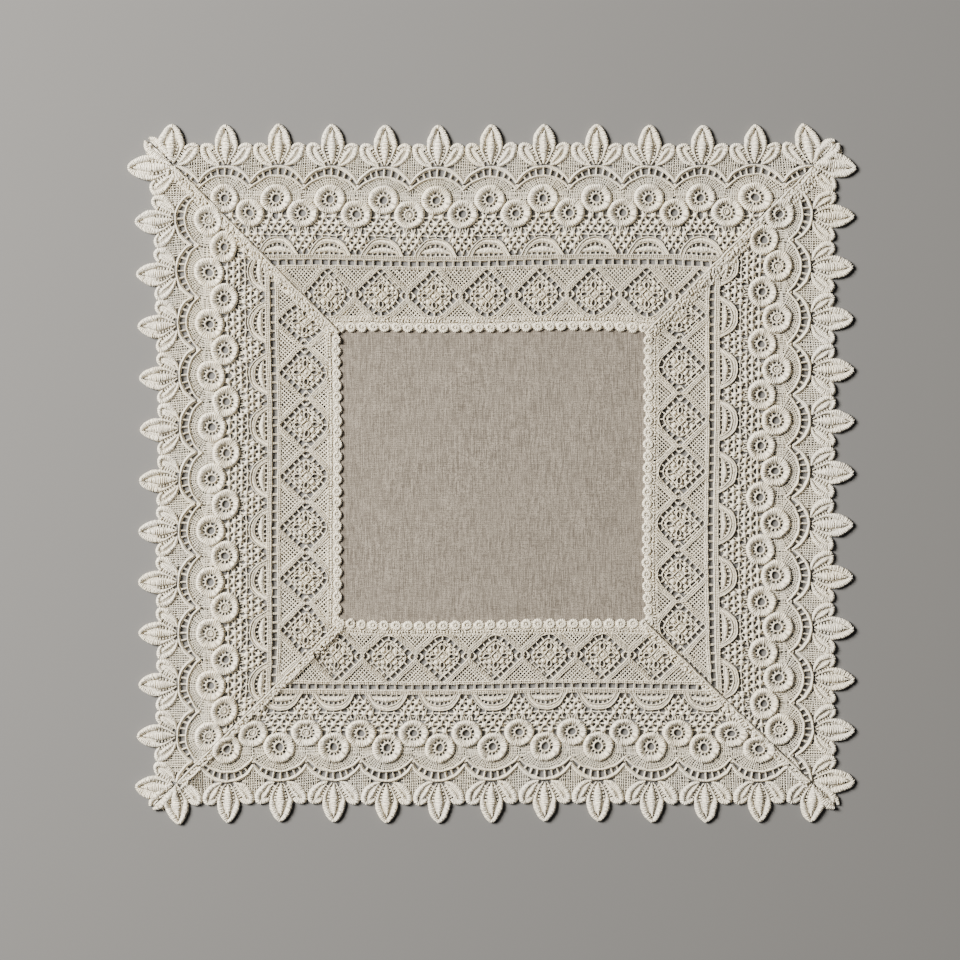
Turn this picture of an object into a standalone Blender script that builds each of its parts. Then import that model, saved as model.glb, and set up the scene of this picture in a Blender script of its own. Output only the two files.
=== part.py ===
"""A square table doily: a linen centre edged with four mitred lengths of guipure lace.

Sizes are in millimetres until a mesh is made. Each length of lace is drawn flat in its own frame, u along it
and v out from the edge that laps over the linen. It is then cut to its mitres, turned into place and laid.
"""

import math

import bmesh
import bpy
from mathutils import Vector
from mathutils.geometry import delaunay_2d_cdt

MM = 0.001

# The repeat of the lace. It is a little shorter on the two side lengths, which are eased on.
REPEATS = 13
PITCH_X = 22.1
PITCH_Y = 21.55

# Heights above the surface that the doily lies on.
GROUND_Z = 1.3
GROOVE_Z = 1.0
RIM_Z = 1.1
CORD_Z = 1.9
SATIN_Z = 2.2
LINEN_THICK = 1.0
GAP = 0.3
LAP_GROUND_Z = 2.3
BEAD_RIM_Z = 2.0
BEAD_Z = 2.9

# The bands of the lace, by their distance out from the tips of the beads.
DIAMOND_V = 15.3
FAN_V = 32.4
LOWER_RING_V = 49.8
UPPER_RING_V = 55.8
LEAF_ROOT_V = 69.7
LEAF_TIP_V = 86.3

# Beads along the inner edge.
BEAD_RADIUS = 2.3
BEAD_PITCH = 4.9
BEAD_NOTCH_V = 1.9
BEAD_DOME = 1.15

# Straight lines that run the whole length: the two rails and the ladder's groove between them.
RAILS = (
    {"v": 26.5, "height": GROUND_Z},
    {"v": 27.3, "height": CORD_Z},
    {"v": 29.0, "height": GROOVE_Z},
    {"v": 30.9, "height": CORD_Z},
    {"v": 31.9, "height": CORD_Z - 0.3},
)

# One diamond, as the quarter from +u to +v of each closed line, and the round rosette inside it.
DIAMOND = (
    {"quarter": ((10.1, 0.0), (8.7, 2.0), (2.0, 8.7)), "height": CORD_Z},
    {"quarter": ((7.8, 0.0),), "height": GROOVE_Z},
)
ROSETTE = {"radius": 4.7, "sides": 8, "height": CORD_Z}

# One padded ring, one fan and one laddered scallop, from the outside in.
RING = (
    {"radius": 6.15, "sides": 6, "height": GROUND_Z},
    {"radius": 4.6, "sides": 8, "height": SATIN_Z},
    {"radius": 2.7, "sides": 4, "height": RIM_Z},
)
FAN = (
    {"radius": 8.8, "end": 4, "steps": 5, "height": GROUND_Z},
    {"radius": 7.4, "end": 4, "steps": 5, "height": CORD_Z},
    {"radius": 5.8, "end": 8, "steps": 4, "height": GROOVE_Z},
)
FAN_LENS = ((-3.0, 1.4), (0.0, 3.4), (3.0, 1.4))
SCALLOP = (
    {"crest": 69.4, "foot": 62.9, "height": CORD_Z},
    {"crest": 67.3, "foot": 61.7, "height": GROOVE_Z},
    {"crest": 65.2, "foot": 60.6, "height": CORD_Z},
)
SCALLOP_STEPS = 5
SCALLOP_CLEARANCE = 0.1
NET_KITE = (66.0, 74.5)

# One palmette: a leaf between two petals. Petal lines are on the +u side, and are mirrored.
LEAF_BORDER = ((0.0, 70.9), (2.9, 76.2), (3.6, 80.8), (2.1, 84.0), (-2.1, 84.0), (-3.6, 80.8), (-2.9, 76.2))
LEAF_GROOVE = ((0.0, 73.4), (2.2, 80.6), (0.0, 83.6), (-2.2, 80.6))
LEAF_VEIN = ((0.0, 76.4), (0.0, 81.6))
PETAL_BORDER = ((1.8, 70.6), (7.4, 73.6), (10.0, 77.2), (7.6, 78.9), (4.0, 75.0))
PETAL_GROOVE = ((4.8, 73.8), (8.2, 77.2))

# The outer edge from the leaf's tip down its +u side: the leaf, the petal's round end, and the blunt corner
# that stands in for that end beside a mitre.
LEAF_SIDE = ((3.3, 84.5), (4.9, 80.8))
PETAL_END = ((5.2, 78.2), (7.3, 79.9), (9.4, 79.9))
CUSP_V = 78.4
CORNER_V = 81.0
CORNER_REACH = 14.0
CORNER_END = ((5.4, 79.0), (7.4, CORNER_V), (CORNER_REACH, CORNER_V))
CORNER_BLUNT = 1.6

# The lap over the linen, and the steps of the underside, which give the mitre its corners.
LINEN_UNDER_LACE = 3.9
LINEN_CELLS = 4
LAP_END = 4.35
LAP_FOOT = 4.65
SLOPE_END = 7.5
UNDERSIDE_LEVELS = (LAP_END, LAP_FOOT, 13.0, 21.0, 29.0, 37.0, 45.0, 53.0, 61.0, 69.0)

# The mitres, and the seam allowance folded back under one side of each, which lifts a band along it.
MITRE_GAP = 0.4
ALLOWANCE = 6.8
ALLOWANCE_RISE = 0.6

# Each length: turn in degrees, slip of its pattern along it, and the ends that carry a folded allowance.
LENGTHS = {
    "lace_top": {"turn": 0, "slip": -0.9, "folded": ()},
    "lace_left": {"turn": 90, "slip": -1.5, "folded": (1,)},
    "lace_bottom": {"turn": 180, "slip": -0.2, "folded": (-1, 1)},
    "lace_right": {"turn": 270, "slip": -0.8, "folded": (-1,)},
}

# How the doily lies: its linen a little off centre, its sides drawn in, its corner leaves pulled aside.
LINEN_SHIFT = (-1.3, -1.4)
BOW = (2.5, 1.1)
RIPPLE = 0.3
RIPPLE_LENGTH = 110.0
PULLS = (
    {"x": -151, "y": 129, "dx": -3.4, "dy": 0.6, "reach": 15},
    {"x": 133, "y": 151, "dx": -3.4, "dy": 0.0, "reach": 16},
    {"x": 134, "y": -151, "dx": -2.0, "dy": 0.0, "reach": 16},
    {"x": -134, "y": -151, "dx": 1.9, "dy": 0.0, "reach": 16},
    {"x": 154, "y": 131, "dx": 0.0, "dy": -2.4, "reach": 18},
)

LACE_COLOUR = (0.80, 0.77, 0.71, 1.0)
LACE_ROUGHNESS = 0.85
LINEN_COLOUR = (0.45, 0.39, 0.32, 1.0)
LINEN_ROUGHNESS = 0.9
SHARP_ANGLE = 50


def shown_half(pitch):
    """Half the linen that shows, so that the mitre meets the root of the corner leaf."""
    return (REPEATS - 1) / 2 * pitch - LEAF_ROOT_V


def as_laid(x, y):
    """Where a point of the flat pattern comes to lie."""
    a = x / (shown_half(PITCH_X) + LEAF_TIP_V)
    b = y / (shown_half(PITCH_Y) + LEAF_TIP_V)
    wave = 2 * math.pi / RIPPLE_LENGTH
    dx = LINEN_SHIFT[0] * (1 - a * a) + BOW[0] * a * b * b + RIPPLE * math.sin(y * wave)
    dy = LINEN_SHIFT[1] * (1 - b * b) + BOW[1] * b * a * a + RIPPLE * math.sin(x * wave)
    for pull in PULLS:
        share = math.exp(-((x - pull["x"]) ** 2 + (y - pull["y"]) ** 2) / pull["reach"] ** 2)
        dx += pull["dx"] * share
        dy += pull["dy"] * share
    return x + dx, y + dy


# Lines in the length's own frame.


def arc(u, v, radius, start, end, steps):
    """Points on an arc about (u, v), with its angles in degrees anticlockwise from +u."""
    angles = [math.radians(start + (end - start) * i / steps) for i in range(steps + 1)]
    return [(u + radius * math.cos(angle), v + radius * math.sin(angle)) for angle in angles]


def polygon(u, v, radius, sides):
    return arc(u, v, radius, 0, 360, sides)[:-1]


def arch(u, half, crest, foot, steps):
    """A shallow arch from one foot over the crest to the other foot."""
    rise = crest - foot
    radius = (half * half + rise * rise) / (2 * rise)
    sweep = math.degrees(math.asin(half / radius))
    return arc(u, crest - radius, radius, 90 + sweep, 90 - sweep, steps)


def moved(points, u, v=0.0, side=1):
    """The points moved to (u, v), and mirrored in u where side is -1."""
    return [(u + side * a, v + b) for a, b in points]


def all_round(quarter):
    """The whole loop that has this quarter in each of its four turns."""
    turns = ((1, 0), (0, 1), (-1, 0), (0, -1))
    return [(c * u - s * v, s * u + c * v) for c, s in turns for u, v in quarter]


def lap_height(v):
    """The least height of the top face, where a length laps over the linen and comes down beyond it."""
    if v >= SLOPE_END:
        return 0.0
    down = max(0.0, v - LAP_END) / (SLOPE_END - LAP_END)
    return LAP_GROUND_Z + (GROUND_Z - LAP_GROUND_Z) * down


class TopFace:
    """The top face of a length: its outline, then its ridges and grooves, each point with its height."""

    def __init__(self, outline):
        self.points = list(outline)
        self.heights = [BEAD_RIM_Z if v < LAP_END else RIM_Z for u, v in outline]
        self.edges = []

    def add(self, points, height, closed=False):
        first = len(self.points)
        self.points += points
        self.heights += [max(height, lap_height(v)) for u, v in points]
        last = len(self.points) - 1
        self.edges += [(i, i + 1) for i in range(first, last)]
        if closed:
            self.edges.append((last, first))


# The motifs, each drawn about its own centre line u.


def add_bead(face, u):
    face.add(arc(u, BEAD_RADIUS, BEAD_DOME, 30, 270, 2), BEAD_Z, closed=True)


def add_diamond(face, u):
    for line in DIAMOND:
        face.add(moved(all_round(line["quarter"]), u, DIAMOND_V), line["height"], closed=True)
    face.add(polygon(u, DIAMOND_V, ROSETTE["radius"], ROSETTE["sides"]), ROSETTE["height"], closed=True)
    face.add([(u, DIAMOND_V)], GROUND_Z)


def add_fan(face, u):
    for line in FAN:
        face.add(arc(u, FAN_V, line["radius"], 180 - line["end"], line["end"], line["steps"]), line["height"])
    face.add(moved(FAN_LENS, u, FAN_V), CORD_Z)


def add_ring(face, u, v):
    for line in RING:
        face.add(polygon(u, v, line["radius"], line["sides"]), line["height"], closed=True)
    face.add([(u, v)], GROOVE_Z)


def add_scallop(face, u, pitch):
    half = pitch / 2
    for line in SCALLOP:
        rail = arch(u, half - SCALLOP_CLEARANCE, line["crest"], line["foot"], SCALLOP_STEPS)
        face.add(rail, line["height"])
    face.add([(u + half, v) for v in NET_KITE], GROUND_Z)


def add_palmette(face, u):
    face.add(moved(LEAF_BORDER, u), SATIN_Z, closed=True)
    face.add(moved(LEAF_GROOVE, u), GROUND_Z, closed=True)
    face.add(moved(LEAF_VEIN, u), SATIN_Z)
    for side in (-1, 1):
        face.add(moved(PETAL_BORDER, u, side=side), SATIN_Z, closed=True)
        face.add(moved(PETAL_GROOVE, u, side=side), GROUND_Z)


def centres(pitch, slip, reach, shift=0.0):
    """Centres of a repeated motif that lie within reach of the middle of the length."""
    places = [slip + (k + shift) * pitch for k in range(-REPEATS, REPEATS)]
    return [u for u in places if abs(u) < reach]


def bead_centres(left, right):
    count = int((right - left) / BEAD_PITCH)
    return [(i - (count - 1) / 2) * BEAD_PITCH for i in range(count)]


def inner_edge(beads, left, right):
    """The edge of beads, from left to right."""
    edge = [(left, BEAD_NOTCH_V)]
    for u in beads:
        edge += arc(u, BEAD_RADIUS, BEAD_RADIUS, 210, 330, 2)
        edge.append((u + BEAD_PITCH / 2, BEAD_NOTCH_V))
    return edge[:-1] + [(right, BEAD_NOTCH_V)]


def outer_edge(leaves, pitch):
    """The edge of leaves and petals, from left to right, blunt at both corners."""
    edge = []
    for u in leaves:
        left = LEAF_SIDE + (CORNER_END if u == leaves[0] else PETAL_END)
        right = LEAF_SIDE + (CORNER_END if u == leaves[-1] else PETAL_END)
        edge += reversed(moved(left, u, side=-1))
        edge.append((u, LEAF_TIP_V))
        edge += moved(right, u)
        if u != leaves[-1]:
            edge.append((u + pitch / 2, CUSP_V))
    return edge


def outline_of(leaves, beads, pitch):
    """The outline of the untrimmed length, anticlockwise, with a point at each level of the underside."""
    left, right = leaves[0] - CORNER_REACH, leaves[-1] + CORNER_REACH
    right_end = [(right, v) for v in UNDERSIDE_LEVELS]
    left_end = [(left, v) for v in UNDERSIDE_LEVELS]
    return inner_edge(beads, left, right) + right_end + outer_edge(leaves, pitch)[::-1] + left_end[::-1]


def draw_top(pitch, slip):
    """The top face of the untrimmed length, and the number of points in its outline."""
    half = shown_half(pitch)
    leaves = centres(pitch, slip, half + LEAF_TIP_V - pitch / 2)
    end = leaves[-1] + CORNER_REACH
    beads = bead_centres(leaves[0] - CORNER_REACH, end)
    outline = outline_of(leaves, beads, pitch)
    face = TopFace(outline)
    for rail in RAILS:
        face.add([(1 - end, rail["v"]), (end - 1, rail["v"])], rail["height"])
    for u in beads:
        if abs(u) < half + 2 * BEAD_RADIUS:
            add_bead(face, u)
    for u in centres(pitch, slip, half + DIAMOND_V + pitch / 2):
        add_diamond(face, u)
    for u in centres(pitch, slip, half + FAN_V + FAN[0]["radius"]):
        add_fan(face, u)
    for u in centres(pitch, slip, half + LOWER_RING_V + RING[0]["radius"], shift=0.5):
        add_ring(face, u, LOWER_RING_V)
    for u in centres(pitch, slip, half + UPPER_RING_V + RING[0]["radius"]):
        add_ring(face, u, UPPER_RING_V)
    for u in leaves:
        add_scallop(face, u, pitch)
        add_palmette(face, u)
    return face, len(outline)


# From the drawing to a solid.


def is_inside(outline, u, v):
    """Whether a point lies inside the outline, by counting the edges passed on the way out."""
    crossings = 0
    for (u0, v0), (u1, v1) in zip(outline, outline[1:] + outline[:1]):
        if (v0 > v) != (v1 > v) and u < u0 + (u1 - u0) * (v - v0) / (v1 - v0):
            crossings += 1
    return crossings % 2 == 1


def triangulate(points, edges, count):
    """Triangles that keep to the edges and fill the outline, which is the first count points."""
    rim = [(i, (i + 1) % count) for i in range(count)]
    made = delaunay_2d_cdt([Vector(point) for point in points], edges + rim, [], 0, 1e-4, True)
    source = [merged[0] for merged in made[3]]
    triangles = []
    for triangle in made[2]:
        corners = [source[i] for i in triangle]
        u = sum(points[i][0] for i in corners) / 3
        v = sum(points[i][1] for i in corners) / 3
        if max(corners) >= count or is_inside(points[:count], u, v):
            triangles.append(corners)
    return triangles


def cut(mesh, corner, outward, inset, trim):
    """Cuts across the mesh, inset from a corner, and where trim is set removes and closes what is outward."""
    normal = Vector((*outward, 0)).normalized()
    point = Vector((*corner, 0)) - normal * inset
    parts = list(mesh.verts) + list(mesh.edges) + list(mesh.faces)
    bmesh.ops.bisect_plane(mesh, geom=parts, dist=1e-4, plane_co=point, plane_no=normal, clear_outer=trim)
    if trim:
        bmesh.ops.holes_fill(mesh, edges=[edge for edge in mesh.edges if edge.is_boundary], sides=0)


def untrimmed_mesh(pitch, slip):
    """The closed solid of a length before its ends are cut; its layer on_top marks the top face."""
    face, count = draw_top(pitch, slip)
    outline = face.points[:count]
    mesh = bmesh.new()
    on_top = mesh.verts.layers.float.new("on_top")
    top = [mesh.verts.new((u, v, z)) for (u, v), z in zip(face.points, face.heights)]
    for vert in top:
        vert[on_top] = 1.0
    bottom = [mesh.verts.new((u, v, LINEN_THICK + GAP if v <= LAP_END else 0.0)) for u, v in outline]
    for corners in triangulate(face.points, face.edges, count):
        mesh.faces.new([top[i] for i in corners])
    right, left = max(outline)[0], min(outline)[0]
    levels = [(outline.index((left, v)), outline.index((right, v))) for v in UNDERSIDE_LEVELS]
    for corners in triangulate(outline, levels, count):
        mesh.faces.new([bottom[i] for i in reversed(corners)])
    for i in range(count):
        j = (i + 1) % count
        mesh.faces.new((bottom[i], bottom[j], top[j], top[i]))
    return mesh


def lift_allowance(mesh, half, end):
    """Raises the top face over the folded allowance, in a band along the mitre."""
    cut(mesh, (end * half, 0), (end, -1), ALLOWANCE, trim=False)
    on_top = mesh.verts.layers.float["on_top"]
    for vert in mesh.verts:
        from_mitre = (half - end * vert.co.x + vert.co.y) / math.sqrt(2)
        if from_mitre < ALLOWANCE - GAP:
            vert.co.z += ALLOWANCE_RISE * vert[on_top]


def mitred_mesh(pitch, slip, folded):
    """The solid of a length, mitred and blunted at both ends, still in its own frame."""
    mesh = untrimmed_mesh(pitch, slip)
    half = shown_half(pitch)
    for end in (-1, 1):
        cut(mesh, (end * half, 0), (end, -1), MITRE_GAP / 2, trim=True)
        cut(mesh, (end * (half + CORNER_V), CORNER_V), (end, 1), CORNER_BLUNT, trim=True)
        if end in folded:
            lift_allowance(mesh, half, end)
    bmesh.ops.recalc_face_normals(mesh, faces=mesh.faces)
    return mesh


# The nodes.


def material(name, colour, roughness):
    made = bpy.data.materials.new(name)
    made.use_nodes = True
    shader = made.node_tree.nodes["Principled BSDF"]
    shader.inputs["Base Color"].default_value = colour
    shader.inputs["Roughness"].default_value = roughness
    return made


def lay(name, mesh, finish):
    """The named object of a mesh that is in its place in the flat pattern."""
    for vert in mesh.verts:
        x, y = as_laid(vert.co.x, vert.co.y)
        vert.co = Vector((x, y, vert.co.z)) * MM
    data = bpy.data.meshes.new(name)
    mesh.to_mesh(data)
    mesh.free()
    data.materials.append(finish)
    data.shade_smooth()
    data.set_sharp_from_angle(angle=math.radians(SHARP_ANGLE))
    node = bpy.data.objects.new(name, data)
    bpy.context.scene.collection.objects.link(node)
    return node


def lace_length(name, length, finish):
    """One length of lace, turned to its side of the linen."""
    along_x = length["turn"] % 180 == 0
    pitch, other_pitch = (PITCH_X, PITCH_Y) if along_x else (PITCH_Y, PITCH_X)
    mesh = mitred_mesh(pitch, length["slip"], length["folded"])
    angle = math.radians(length["turn"])
    c, s = round(math.cos(angle)), round(math.sin(angle))
    out = shown_half(other_pitch)
    for vert in mesh.verts:
        u, v = vert.co.x, vert.co.y + out
        vert.co.x, vert.co.y = c * u - s * v, s * u + c * v
    return lay(name, mesh, finish)


def linen_centre(finish):
    """The linen square, cut a little larger than the part that shows."""
    mesh = bmesh.new()
    bmesh.ops.create_grid(mesh, x_segments=LINEN_CELLS, y_segments=LINEN_CELLS, size=1.0)
    for vert in mesh.verts:
        vert.co.x *= shown_half(PITCH_X) + LINEN_UNDER_LACE
        vert.co.y *= shown_half(PITCH_Y) + LINEN_UNDER_LACE
    made = bmesh.ops.extrude_face_region(mesh, geom=list(mesh.faces))
    for vert in made["geom"]:
        if isinstance(vert, bmesh.types.BMVert):
            vert.co.z = LINEN_THICK
    bmesh.ops.recalc_face_normals(mesh, faces=mesh.faces)
    return lay("linen_centre", mesh, finish)


def centre_on_origin(nodes):
    """Moves the nodes together so that the middle of the doily's box is at the origin."""
    points = [vert.co for node in nodes for vert in node.data.vertices]
    middle = [(min(p[i] for p in points) + max(p[i] for p in points)) / 2 for i in (0, 1)]
    for node in nodes:
        node.location = (-middle[0], -middle[1], 0)


def build():
    for old in list(bpy.data.objects):
        bpy.data.objects.remove(old)
    lace = material("lace", LACE_COLOUR, LACE_ROUGHNESS)
    linen = material("linen", LINEN_COLOUR, LINEN_ROUGHNESS)
    lengths = [lace_length(name, length, lace) for name, length in LENGTHS.items()]
    centre_on_origin([linen_centre(linen)] + lengths)


build()
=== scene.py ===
import math

import bmesh
import bpy
import numpy as np
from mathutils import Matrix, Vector


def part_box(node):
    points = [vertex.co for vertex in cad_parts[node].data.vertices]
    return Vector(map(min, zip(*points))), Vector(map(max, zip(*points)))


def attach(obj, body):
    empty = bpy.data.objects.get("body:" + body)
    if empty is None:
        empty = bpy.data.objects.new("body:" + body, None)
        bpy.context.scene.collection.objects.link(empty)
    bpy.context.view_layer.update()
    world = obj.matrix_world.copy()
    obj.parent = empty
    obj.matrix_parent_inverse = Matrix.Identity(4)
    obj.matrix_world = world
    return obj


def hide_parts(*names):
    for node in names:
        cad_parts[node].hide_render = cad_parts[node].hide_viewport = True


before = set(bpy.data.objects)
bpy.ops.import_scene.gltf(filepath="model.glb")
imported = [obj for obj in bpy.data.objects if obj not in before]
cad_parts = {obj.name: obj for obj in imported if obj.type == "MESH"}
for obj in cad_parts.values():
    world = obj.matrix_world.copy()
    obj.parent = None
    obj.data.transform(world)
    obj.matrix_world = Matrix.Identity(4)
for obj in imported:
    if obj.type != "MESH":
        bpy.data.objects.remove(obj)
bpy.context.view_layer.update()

# ----------
# The linen centre: one square of natural linen in plain weave, cut a little larger than the part that shows.
# It lies flat, a shade off centre, with its raw edge under the lace that is stitched over it on all sides.

MM = 0.001
# The lace's repeats along a side, and how long one is, a little less on the two sides where it was eased on.
# The roots and the tips of its leaves are this far out from the tips of its beads.
REPEATS = 13
PITCH_X = 22.1
PITCH_Y = 21.55
LEAF_ROOT_V = 69.7
LEAF_TIP_V = 86.3
LINEN_UNDER_LACE = 3.9
LINEN_TOP = 0.95
LINEN_FOOT = 0.1
LINEN_CELL = 1.6
LINEN_SWELL = 0.12
SWELL_LENGTH = 34.0
SWELL_FADE = 8.0
# Edges are shaded as creases from this angle up, in degrees.
LINEN_CREASE = 50
# How the cloth was drawn out of square: shifted in the middle, bowed, rippled, and pulled at the corners.
LINEN_SHIFT = (-1.3, -1.4)
BOW = (2.5, 1.1)
RIPPLE = 0.3
RIPPLE_LENGTH = 110.0
PULLS = (
    {"x": -151, "y": 129, "dx": -3.4, "dy": 0.6, "reach": 15},
    {"x": 133, "y": 151, "dx": -3.4, "dy": 0.0, "reach": 16},
    {"x": 134, "y": -151, "dx": -2.0, "dy": 0.0, "reach": 16},
    {"x": -134, "y": -151, "dx": 1.9, "dy": 0.0, "reach": 16},
    {"x": 154, "y": 131, "dx": 0.0, "dy": -2.4, "reach": 18},
)


def shown_half(pitch):
    """Half the linen that shows between two opposite lengths of lace."""
    return (REPEATS - 1) / 2 * pitch - LEAF_ROOT_V


def as_laid(x, y):
    """Where points of the flat pattern come to lie, with the sides drawn in and the corners pulled."""
    a = x / (shown_half(PITCH_X) + LEAF_TIP_V)
    b = y / (shown_half(PITCH_Y) + LEAF_TIP_V)
    wave = 2 * math.pi / RIPPLE_LENGTH
    dx = LINEN_SHIFT[0] * (1 - a * a) + BOW[0] * a * b * b + RIPPLE * np.sin(y * wave)
    dy = LINEN_SHIFT[1] * (1 - b * b) + BOW[1] * b * a * a + RIPPLE * np.sin(x * wave)
    for pull in PULLS:
        share = np.exp(-((x - pull["x"]) ** 2 + (y - pull["y"]) ** 2) / pull["reach"] ** 2)
        dx += pull["dx"] * share
        dy += pull["dy"] * share
    return x + dx, y + dy


def uneven(x, y, length, seed):
    """A smooth, uneven field from about -1 to 1, whose hollows are about length apart."""
    draw = np.random.default_rng(seed)
    total = np.zeros_like(x)
    for _ in range(6):
        angle, phase = draw.uniform(0, 2 * math.pi, 2)
        wave = 2 * math.pi / (length * draw.uniform(0.7, 1.5))
        total += np.sin(wave * (x * math.cos(angle) + y * math.sin(angle)) + phase)
    return total / 3


linen_half = np.array([shown_half(PITCH_X), shown_half(PITCH_Y)]) + LINEN_UNDER_LACE
linen_cells = [round(2 * side / LINEN_CELL) for side in linen_half]
columns, rows = np.meshgrid(*[np.linspace(-side, side, n + 1) for side, n in zip(linen_half, linen_cells)])
linen_x, linen_y = as_laid(columns, rows)
# The middle of the doily's outline on the flat pattern: the linen is set on the place that its box gives it.
MIDDLE = np.array([linen_x.min(), linen_y.min()]) - np.array(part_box("linen_centre")[0][:2]) / MM


def cloth_material(name, roughness, sheen):
    """A fabric's material, with its nodes and its shader."""
    made = bpy.data.materials.new(name)
    made.use_nodes = True
    shader = made.node_tree.nodes["Principled BSDF"]
    shader.inputs["Roughness"].default_value = roughness
    shader.inputs["Sheen Weight"].default_value = sheen
    shader.inputs["Sheen Roughness"].default_value = 0.5
    shader.inputs["Specular IOR Level"].default_value = 0.25
    return made, made.node_tree, shader


def node(tree, kind, links=None, **settings):
    """A node of this kind with its settings, and its inputs set or linked by name or number."""
    made = tree.nodes.new(kind)
    for key, value in settings.items():
        setattr(made, key, value)
    for key, value in (links or {}).items():
        if isinstance(value, bpy.types.NodeSocket):
            tree.links.new(value, made.inputs[key])
        else:
            made.inputs[key].default_value = value
    return made


def mixed(tree, share, dark, light):
    """The colour between two others at this share."""
    made = node(tree, "ShaderNodeMix", {"Factor": share}, data_type="RGBA")
    for socket, value in ((6, dark), (7, light)):
        if isinstance(value, bpy.types.NodeSocket):
            tree.links.new(value, made.inputs[socket])
        else:
            made.inputs[socket].default_value = (*value, 1)
    return made.outputs[2]


def remapped(tree, value, low, high, to_low=0.0, to_high=1.0):
    """The value, with low to high spread over to_low to to_high."""
    return node(tree, "ShaderNodeMapRange", {0: value, 1: low, 2: high, 3: to_low, 4: to_high}).outputs[0]


def maths(tree, operation, *values):
    return node(tree, "ShaderNodeMath", dict(enumerate(values)), operation=operation).outputs[0]


def noise(tree, place, scale, detail):
    inputs = {"Vector": place, "Scale": scale, "Detail": detail}
    return node(tree, "ShaderNodeTexNoise", inputs).outputs["Fac"]


def rows_of_thread(tree, place, pitch, axis, distortion=0.0):
    """Even waves across an axis, one for each thread; the pitch is in the units of place."""
    inputs = {"Vector": place, "Scale": 1 / pitch * math.pi / 10, "Distortion": distortion}
    return node(tree, "ShaderNodeTexWave", inputs, wave_type="BANDS", bands_direction=axis).outputs["Fac"]


def dress(tree, shader, colour, relief, strength, depth):
    """Gives the shader its colour, and a relief of this depth in metres."""
    tree.links.new(colour, shader.inputs["Base Color"])
    bump = node(tree, "ShaderNodeBump", {"Height": relief, "Strength": strength, "Distance": depth})
    tree.links.new(bump.outputs[0], shader.inputs["Normal"])


# The pitch of the linen's threads, how its slubs are stretched each way, how fine its slubs, thin places and
# cloudiness are, and its flax colours: the thin places, the body of the cloth and the pale slubs.
LINEN_THREAD = 0.84
SLUBS = (("X", (1, 0.075, 1)), ("Y", (0.12, 1, 1)))
SLUB_SCALE = 2500.0
GAP_SCALE = 2300.0
CLOUD_SCALE = 22.0
LINEN_DARK = (0.066, 0.053, 0.039)
LINEN_BODY = (0.164, 0.138, 0.106)
LINEN_PALE = (0.232, 0.198, 0.155)


def linen_material():
    made, tree, shader = cloth_material("linen_weave", 0.9, 0.15)
    place = node(tree, "ShaderNodeTexCoord").outputs["Object"]
    waves, slubs = [], []
    for axis, scale in SLUBS:
        stretch = node(tree, "ShaderNodeMapping", {"Vector": place, "Scale": scale}).outputs[0]
        waves.append(rows_of_thread(tree, place, LINEN_THREAD * MM, axis))
        slubs.append(noise(tree, stretch, SLUB_SCALE, 2.0))
    slub = maths(tree, "MULTIPLY_ADD", slubs[1], 0.5, slubs[0])
    body = mixed(tree, remapped(tree, slub, 0.54, 0.93), LINEN_DARK, LINEN_PALE)
    cloud = noise(tree, place, CLOUD_SCALE, 3.0)
    shaded = mixed(tree, remapped(tree, cloud, 0.35, 0.65, 0.1, 0.3), body, LINEN_BODY)
    gaps = noise(tree, place, GAP_SCALE, 2.0)
    woven = mixed(tree, remapped(tree, gaps, 0.34, 0.52, 0.95, 0.0), shaded, LINEN_DARK)
    relief = maths(tree, "MULTIPLY_ADD", maths(tree, "MULTIPLY", *waves), 0.35, slub)
    dress(tree, shader, woven, relief, 0.8, 0.0003)
    return made


def add_object(name, mesh, finish):
    made = bpy.data.objects.new(name, mesh)
    bpy.context.scene.collection.objects.link(made)
    mesh.materials.append(finish)
    return made


def read(parts, key, width=1, kind=np.float32):
    """What a mesh holds under this key for each of its parts: one number, or a row of width numbers."""
    found = np.empty(len(parts) * width, kind)
    parts.foreach_get(key, found)
    return found.reshape(-1, width) if width > 1 else found


def write(parts, key, values, kind=np.float32):
    parts.foreach_set(key, np.asarray(values).astype(kind).ravel())


MAP_EDGE = 0.01


def map_flat(mesh):
    """A map of the piece's colours: its face in one half and its back in the other, both laid out flat."""
    places = read(mesh.vertices, "co", 3)[:, :2]
    low, side = places.min(0), np.ptp(places, axis=0)
    counts = read(mesh.polygons, "loop_total", kind=np.int32)
    back = np.repeat(read(mesh.polygons, "normal", 3)[:, 2] < -0.5, counts)
    corner = read(mesh.loops, "vertex_index", kind=np.int32)
    spots = (places[corner] - low) / side * (1 - 2 * MAP_EDGE) + MAP_EDGE
    short_side = int(side[1] <= side[0])
    spots[:, short_side] = (spots[:, short_side] + back) / 2
    write(mesh.uv_layers.new(name="OFBake").data, "uv", spots)


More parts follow.
